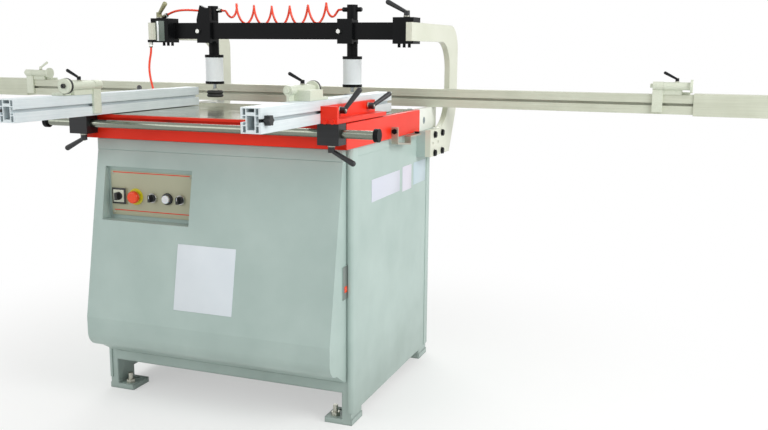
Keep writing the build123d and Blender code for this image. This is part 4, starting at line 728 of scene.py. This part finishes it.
for side, way in (("left", -1), ("right", 1)):
    new_piece(side + "_panel_fold", make_fold(way), "root", cabinet_paint)
    rim_x = sorted((way * PANEL_FACE, way * (PANEL_FACE + RIM)))
    rims = [(rim_x, *band) for band in RIM_BANDS]
    block_piece(side + "_panel_rims", rims, 0.6, "root", cabinet_paint)
for name, (span, height, tint) in STICKERS.items():
    film = moulded("bare_vinyl_sticker_" + name, tint, tint, 0.3, 6.0, 0.01)
    block_piece("bare_sticker_" + name, [(FILM_X, span, height)], 0.2, "root", film)
print("stickers", list(STICKERS))

# %% [markdown]
# A lock holds the cover at its right edge. The solid has its plain plate; a strip of dull zinc with a small
# red marker goes over it, as in the photograph. Two thin blocks are enough for pieces this small.

# %% Cover lock
LOCK_FACE = 435
LOCK_STRIP = ((LOCK_FACE - 0.2, LOCK_FACE + 1.2), (-409.5, -376.5), (411.5, 513.5))
LOCK_MARKER = ((LOCK_FACE + 1, LOCK_FACE + 2.4), (-401, -383), (433, 452))
dull_zinc = worked_metal("dull_zinc_lock_strip", "#8E9692", "#7C8480", 0.42, 2, 3.0, 0.04, 0.5)
block_piece("cover_lock_strip", [LOCK_STRIP], 0.4, "root", dull_zinc)
block_piece("cover_lock_marker", [LOCK_MARKER], 0.4, "root", red_plastic)
print("cover lock", LOCK_STRIP)

# %% [markdown]
# The control panel has its lettering left off. What stays is what a hand would find: two printed red
# lines, four screws, the yellow ring of the emergency stop, a framed plate behind the main switch, bright
# rings round the selectors and a pointer line on each.

# %% Control panel
FACE_Y = -403
COLLAR_Y = -409
SWITCH_Z = 680
STOP_X = -294
MAIN_X = (-381, -329)
SELECTORS = (-229, -125)
PUSH_X = -174
PANEL_LINES = (633, 757)
LINE_X = (-379, -90)
LINE_HALF = 1.3
MAIN_FRAME_Z = (654, 706)
MAIN_PLATE_Z = (660, 700)
PANEL_SCREWS = [(x, z) for x in (-380, -89) for z in (625, 753)]

line_y = (FACE_Y - 0.5, FACE_Y + 0.2)
lines = [(LINE_X, line_y, (z - LINE_HALF, z + LINE_HALF)) for z in PANEL_LINES]
block_piece("panel_lines", lines, 0.15, "root", red_paint)
frame_blocks = [(MAIN_X, (COLLAR_Y - 1.5, COLLAR_Y), MAIN_FRAME_Z)]
block_piece("main_switch_frame", frame_blocks, 0.15, "root", black_plastic)
plate_blocks = [((MAIN_X[0] + 5, MAIN_X[1] - 7), (COLLAR_Y - 2.2, COLLAR_Y - 1), MAIN_PLATE_Z)]
block_piece("main_switch_plate", plate_blocks, 0.15, "root", cream_paint)
print("flat pieces on the panel 3")

# %% Rings, screws and pointers of the switches
PANEL_SCREW = [(0, 0.4), (1.4, 0.4), (1.4, 1.8), (2.6, 1.8), (3.6, 0.9), (3.6, -0.2), (0, -0.2)]
STOP_RING = [(15.3, -0.1), (26.5, -0.1), (27, 0.5), (26.5, 2), (17, 3), (15.3, 3)]
SELECTOR_RING = [(12.6, -0.5), (15.4, -0.5), (16, 0.2), (15.2, 1.4), (12.6, 1.4)]
PUSH_RING = [(13.4, -5.8), (18.2, -5.8), (19.2, -4), (18.4, 1.6), (16.5, 2.4), (13.4, 2.4)]
FORWARD = (0, -1, 0)
screws = [(PANEL_SCREW, (x, FACE_Y, z), FORWARD, 20) for x, z in PANEL_SCREWS]
turned_piece("panel_screws", screws, "root", zinc_steel)
stop_ring = (STOP_RING, (STOP_X, FACE_Y, SWITCH_Z), FORWARD, 48, True)
turned_piece("stop_button_ring", [stop_ring], "root", yellow_plastic)
selector_rings = [(SELECTOR_RING, (x, COLLAR_Y, SWITCH_Z), FORWARD, 40, True) for x in SELECTORS]
turned_piece("selector_rings", selector_rings, "root", bright_steel)
push_ring = (PUSH_RING, (PUSH_X, COLLAR_Y, SWITCH_Z), FORWARD, 40, True)
turned_piece("push_button_ring", [push_ring], "root", black_plastic)

GRIP_FRONT = -429.3
POINTER_Y = (GRIP_FRONT - 0.4, GRIP_FRONT + 0.4)
POINTER_HALF = 0.9
POINTER_LENGTH = 10
for number, x in enumerate(SELECTORS, start=1):
    pointer = ((x - POINTER_HALF, x + POINTER_HALF), POINTER_Y, (SWITCH_Z, SWITCH_Z + POINTER_LENGTH))
    knob = f"selector_{number}"
    block_piece(knob + "_pointer", [pointer], 0.2, knob, white_plastic)
print("switch rings and pointers done")

# %% [markdown]
# Every hose ends in a push-in fitting: a collar with a black release ring round the hose. The collars are
# nickel, but the one on the right head is black. One closed outline spun about the port's axis gives the
# collar, and a smaller one the ring.

# %% Push-in fittings
FITTINGS = {
    "supply_top": ((-511, 22, 1158.7), (0, 0, -1), "beam"),
    "supply_low": ((-478, 66, 846.3), (0, 0, 1), "root"),
    "link_left": ((-473.04, 74, 1271.61), (0.9063, 0, 0.4226), "beam"),
    "link_right": ((-333.5, 112, 1288), (-1, 0, 0), "left_head"),
    "spiral_left": ((-268.5, 112, 1288), (1, 0, 0), "left_head"),
    "spiral_right": ((215.5, 112, 1288), (-1, 0, 0), "right_head"),
}
COLLAR = [(4.15, -6), (8.6, -6), (9, -5), (9, 0.5), (8, 1.6), (4.15, 1.6)]
RELEASE_RING = [(4.1, 1.4), (6.6, 1.4), (6.8, 3), (5.6, 4.2), (4.1, 4.2)]
HEAD_PLUG = [(0, 3.4), (5.4, 3.4), (6.6, 2.2), (6.6, -0.5), (0, -0.5)]
HEAD_PLUG_PLACE = (280.5, 112, 1288)
nickel = worked_metal("nickel_plated_brass", "#CFCFC6", "#B5B5AC", 0.2, 2, 3.0, 0.02, stretch=1, edge=0.4)
for name, (place, axis, body) in FITTINGS.items():
    dark = body == "right_head"
    slot, finish = ("black_plastic", black_plastic) if dark else ("zinc_steel", nickel)
    turned_piece(name + "_fitting", [(COLLAR, place, axis, 6, True)], body, finish)
    ring = (RELEASE_RING, place, axis, 28, True)
    turned_piece(name + "_release_ring", [ring], body, black_plastic)
plug = (HEAD_PLUG, HEAD_PLUG_PLACE, (1, 0, 0), 28)
turned_piece("right_head_plug", [plug], "right_head", black_plastic)
print("fittings", len(FITTINGS))

# %% [markdown]
# The right end clamp of the beam is black all over. On the left one, a grey plate is painted reflection
# and a bright strip is a painted highlight down an edge, both thin bevelled blocks on the clamp's front.

# %% Face of the left end clamp
CLAMP_FRONT = 14
# Painted reflection: the grey plate on the black clamp. Painted highlight: the bright strip on it.
clamp_painted_reflection = painted_steel("grey_green_enamelled_clamp", "#66736A", "#5A675E", 0.35, 0.03, edge=0.6)
painted_highlight_edge = worked_metal("bright_painted_highlight", "#F4F8FA", "#E8EEF0", 0.3, 2, 3.0, 0.02, 0.2)
CLAMP_FACES = {
    "left_clamp_painted_reflection_plate": ((-481.5, -446), (1177, 1249), 0.8, "motor_paint", clamp_painted_reflection),
    "left_clamp_milled_edge": ((-477.5, -470), (1178, 1248), 1.4, "bright_steel", painted_highlight_edge),
}
for name, (span, height, out, slot, finish) in CLAMP_FACES.items():
    block = (span, (CLAMP_FRONT - out, CLAMP_FRONT + 0.2), height)
    block_piece(name, [block], 0.3, "beam", finish)
print("clamp faces", len(CLAMP_FACES))

# %% [markdown]
# Clamp levers turn on a steel bush, with a socket screw in the top of the hub. The levers on the machine
# all share these two turned parts; only the hub's place, axis and body change.

# %% Bushes and screws of the clamp levers
HUB = 22
SMALL = 0.6
BUSH = [(9.5, 0.2), (10.8, 0.2), (11.2, 0.8), (11.2, 4.6), (10.6, 5.4), (9.5, 5.4)]
SCREW = [(0, 0.6), (2, 0.6), (2, 2.2), (3.8, 2.2), (4.6, 1.4), (4.6, -0.4), (0, -0.4)]
LEVERS = {
    "left_beam": ((-493, 54, 1258.6), (0, 0, 1), "left_beam_lever", 1),
    "right_beam": ((466, 54, 1258.6), (0, 0, 1), "right_beam_lever", 1),
    "back_left_stop": ((-1307.5, 351.7, 1055), (0, 0, 1), "back_left_stop", SMALL),
    "back_right_stop": ((1314.5, 351.7, 1055), (0, 0, 1), "back_right_stop", SMALL),
    "side_left_stop": ((-345.7, -587, 1055), (0, 0, 1), "side_left_stop", SMALL),
    "side_right_stop": ((345.7, -490, 1055), (0, 0, 1), "side_right_stop", SMALL),
}
for side, way in (("left", -1), ("right", 1)):
    LEVERS[side + "_block"] = ((way * 428, -476, 886.7), (0, 0, -1), side + "_block_lever", 1)
    for place, y in (("front", -400), ("rear", -174)):
        hub = (way * 418.6, y, 980.5)
        LEVERS[f"{side}_{place}_bracket"] = (hub, (way, 0, 0), f"{side}_{place}_bracket_lever", 1)
for name, (base, axis, body, size) in LEVERS.items():
    bush = [(size * radius, size * height) for radius, height in BUSH]
    screw = [(size * radius, size * (HUB + height)) for radius, height in SCREW]
    spins = [(bush, base, axis, 32, True), (screw, base, axis, 24)]
    turned_piece(name + "_lever_screw", spins, body, zinc_steel)
print("levers", len(LEVERS))

# %% [markdown]
# A black rubber ring lies against the round end plate of each side stop, and the plate is held by a black
# screw. Both are spun outlines; the ring goes round the bar and the screw stands on the plate's outer face.

# %% Rings and screws of the side stops
END_RING = [(13.2, 0), (22.6, 0), (23.2, 1.5), (23.2, 6.5), (22.6, 8), (13.2, 8)]
END_SCREW = [(0, 2.5), (2.6, 2.5), (2.6, 7), (6, 7), (7, 6), (7, -0.3), (0, -0.3)]
SIDE_STOPS = {
    "side_left_stop": ((-345.7, -646.9, 1042), (0, 1, 0), (-345.7, -655, 1042), (0, -1, 0)),
    "side_right_stop": ((345.7, -421.9, 1042), (0, 1, 0), (345.7, -422, 1042), (0, 1, 0)),
}
for body, (ring_place, ring_axis, screw_place, screw_axis) in SIDE_STOPS.items():
    spins = [(END_RING, ring_place, ring_axis, 40, True), (END_SCREW, screw_place, screw_axis, 24)]
    turned_piece(body + "_ring", spins, body, black_rubber)
print("side stop rings", len(SIDE_STOPS))

# %% [markdown]
# The pressure feet are rubber bellows cups under a steel nut. Two bulges go round each pad. They could be
# tori, but an outline of half circles spun once gives both bulges and the groove between them together.

# %% Pressure feet
FOOT_LOW = 976
FOOT_TOP = 1000
BULGE = 3.5
BULGE_HALF_HEIGHT = 5
BULGE_AT = (6, 18)
PAD_RADIUS = 26
PAD_OUT = 26.8
FOOT_Y = 112
FOOT_NUT = [(6.1, 0), (11, 0), (11, 7), (9.6, 8), (6.1, 8)]
for side, x in (("left", -301), ("right", 248)):
    outline = [(PAD_RADIUS, FOOT_LOW + 1)]
    for height in BULGE_AT:
        for step in range(9):
            angle = pi * step / 8 - pi / 2
            rise = BULGE_HALF_HEIGHT * sin(angle)
            outline.append((PAD_OUT + BULGE * cos(angle), FOOT_LOW + height + rise))
    outline.append((PAD_RADIUS, FOOT_TOP - 1))
    bulges = (outline, (x, FOOT_Y, 0), (0, 0, 1), 48, True)
    nut = (FOOT_NUT, (x, FOOT_Y, FOOT_TOP), (0, 0, 1), 6, True)
    turned_piece(side + "_foot_bulges", [bulges], side + "_foot", black_rubber)
    turned_piece(side + "_foot_nut", [nut], side + "_foot", zinc_steel)
print("feet done")

# %% [markdown]
# Under the arms' bolts lie black washers, and the drive motor behind the cabinet has cooling fins. Each
# fin is a bevelled block turned to its place round the motor, all in one mesh because they never part.

# %% Washers and motor fins
WASHER = [(6.2, -0.1), (12.4, -0.1), (12.8, 0.5), (12.4, 2), (6.2, 2)]
ARM_FACE = 503
ARM_BOLTS = [(y, z) for y in (267, 356) for z in (790, 856)]
UNIT_Y = 270
for side, way in (("left", -1), ("right", 1)):
    washers = [(WASHER, (way * ARM_FACE, y, z), (way, 0, 0), 28, True) for y, z in ARM_BOLTS]
    turned_piece(side + "_arm_washers", washers, "root", black_metal)

FINS = 30
FIN_LOW = (-1.5, -82, 548)
FIN_HIGH = (1.5, -73.5, 692)
shape = bmesh.new()
for number in range(FINS):
    angle = tau * (number + 0.5) / FINS
    before = set(shape.verts)
    bevelled_block(shape, FIN_LOW, FIN_HIGH, 0.6)
    fin = [vert for vert in shape.verts if vert not in before]
    bmesh.ops.rotate(shape, verts=fin, cent=(0, 0, 0), matrix=Matrix.Rotation(angle, 3, "Z"))
    bmesh.ops.translate(shape, verts=fin, vec=(0, UNIT_Y * MM, 0))
new_piece("motor_fins", shape, "feed_unit", drive_paint)
print("fins", FINS)

# %% [markdown]
# Dowel bits have two spiral cutting edges and a centre point. A short radial edge, spun about the bit's
# axis while it climbs, leaves a spiral ribbon, and solidify gives the ribbon its thickness. The middle
# bit turns with the drive spindle, so it is a piece of its own.

# %% Flutes and points of the drill bits
BIT_PITCH = 32
BITS_A_SIDE = 10
BIT_LOW = 866
BIT_HIGH = 934
FLUTE_TURNS = 2.5
FLUTE_STEPS = 30
FLUTE_RADII = (3.4, 4.7)
FLUTE_THICK = 1.2
BIT_POINT = [(0, 5), (1, 1.5), (3.9, 1), (3.9, -0.5), (0, -0.5)]


def add_flutes(shape, x):
    ribbons = []
    for start in (0, pi):
        ends = [(radius * cos(start), radius * sin(start)) for radius in FLUTE_RADII]
        verts = [shape.verts.new(Vector((x + a, UNIT_Y + b, BIT_LOW)) * MM) for a, b in ends]
        edge = shape.edges.new(verts)
        climb = (BIT_HIGH - BIT_LOW) * MM / FLUTE_STEPS
        known = set(shape.faces)
        bmesh.ops.spin(shape, geom=verts + [edge], cent=(x * MM, UNIT_Y * MM, 0), axis=(0, 0, 1),
                       dvec=(0, 0, climb), angle=FLUTE_TURNS * tau, steps=FLUTE_STEPS, use_merge=False,
                       use_duplicate=False)
        ribbons += [face for face in shape.faces if face not in known]
    bmesh.ops.solidify(shape, geom=ribbons, thickness=FLUTE_THICK * MM)
    turned(shape, BIT_POINT, (x, UNIT_Y, BIT_HIGH + 1), (0, 0, 1), 16)


shape = bmesh.new()
for number in range(-BITS_A_SIDE, BITS_A_SIDE + 1):
    if number != 0:
        add_flutes(shape, number * BIT_PITCH)
new_piece("bit_flutes", shape, "feed_unit", bright_steel)
shape = bmesh.new()
add_flutes(shape, 0)
new_piece("middle_bit_flutes", shape, "drive_spindle", bright_steel)
print("bits", 2 * BITS_A_SIDE + 1)
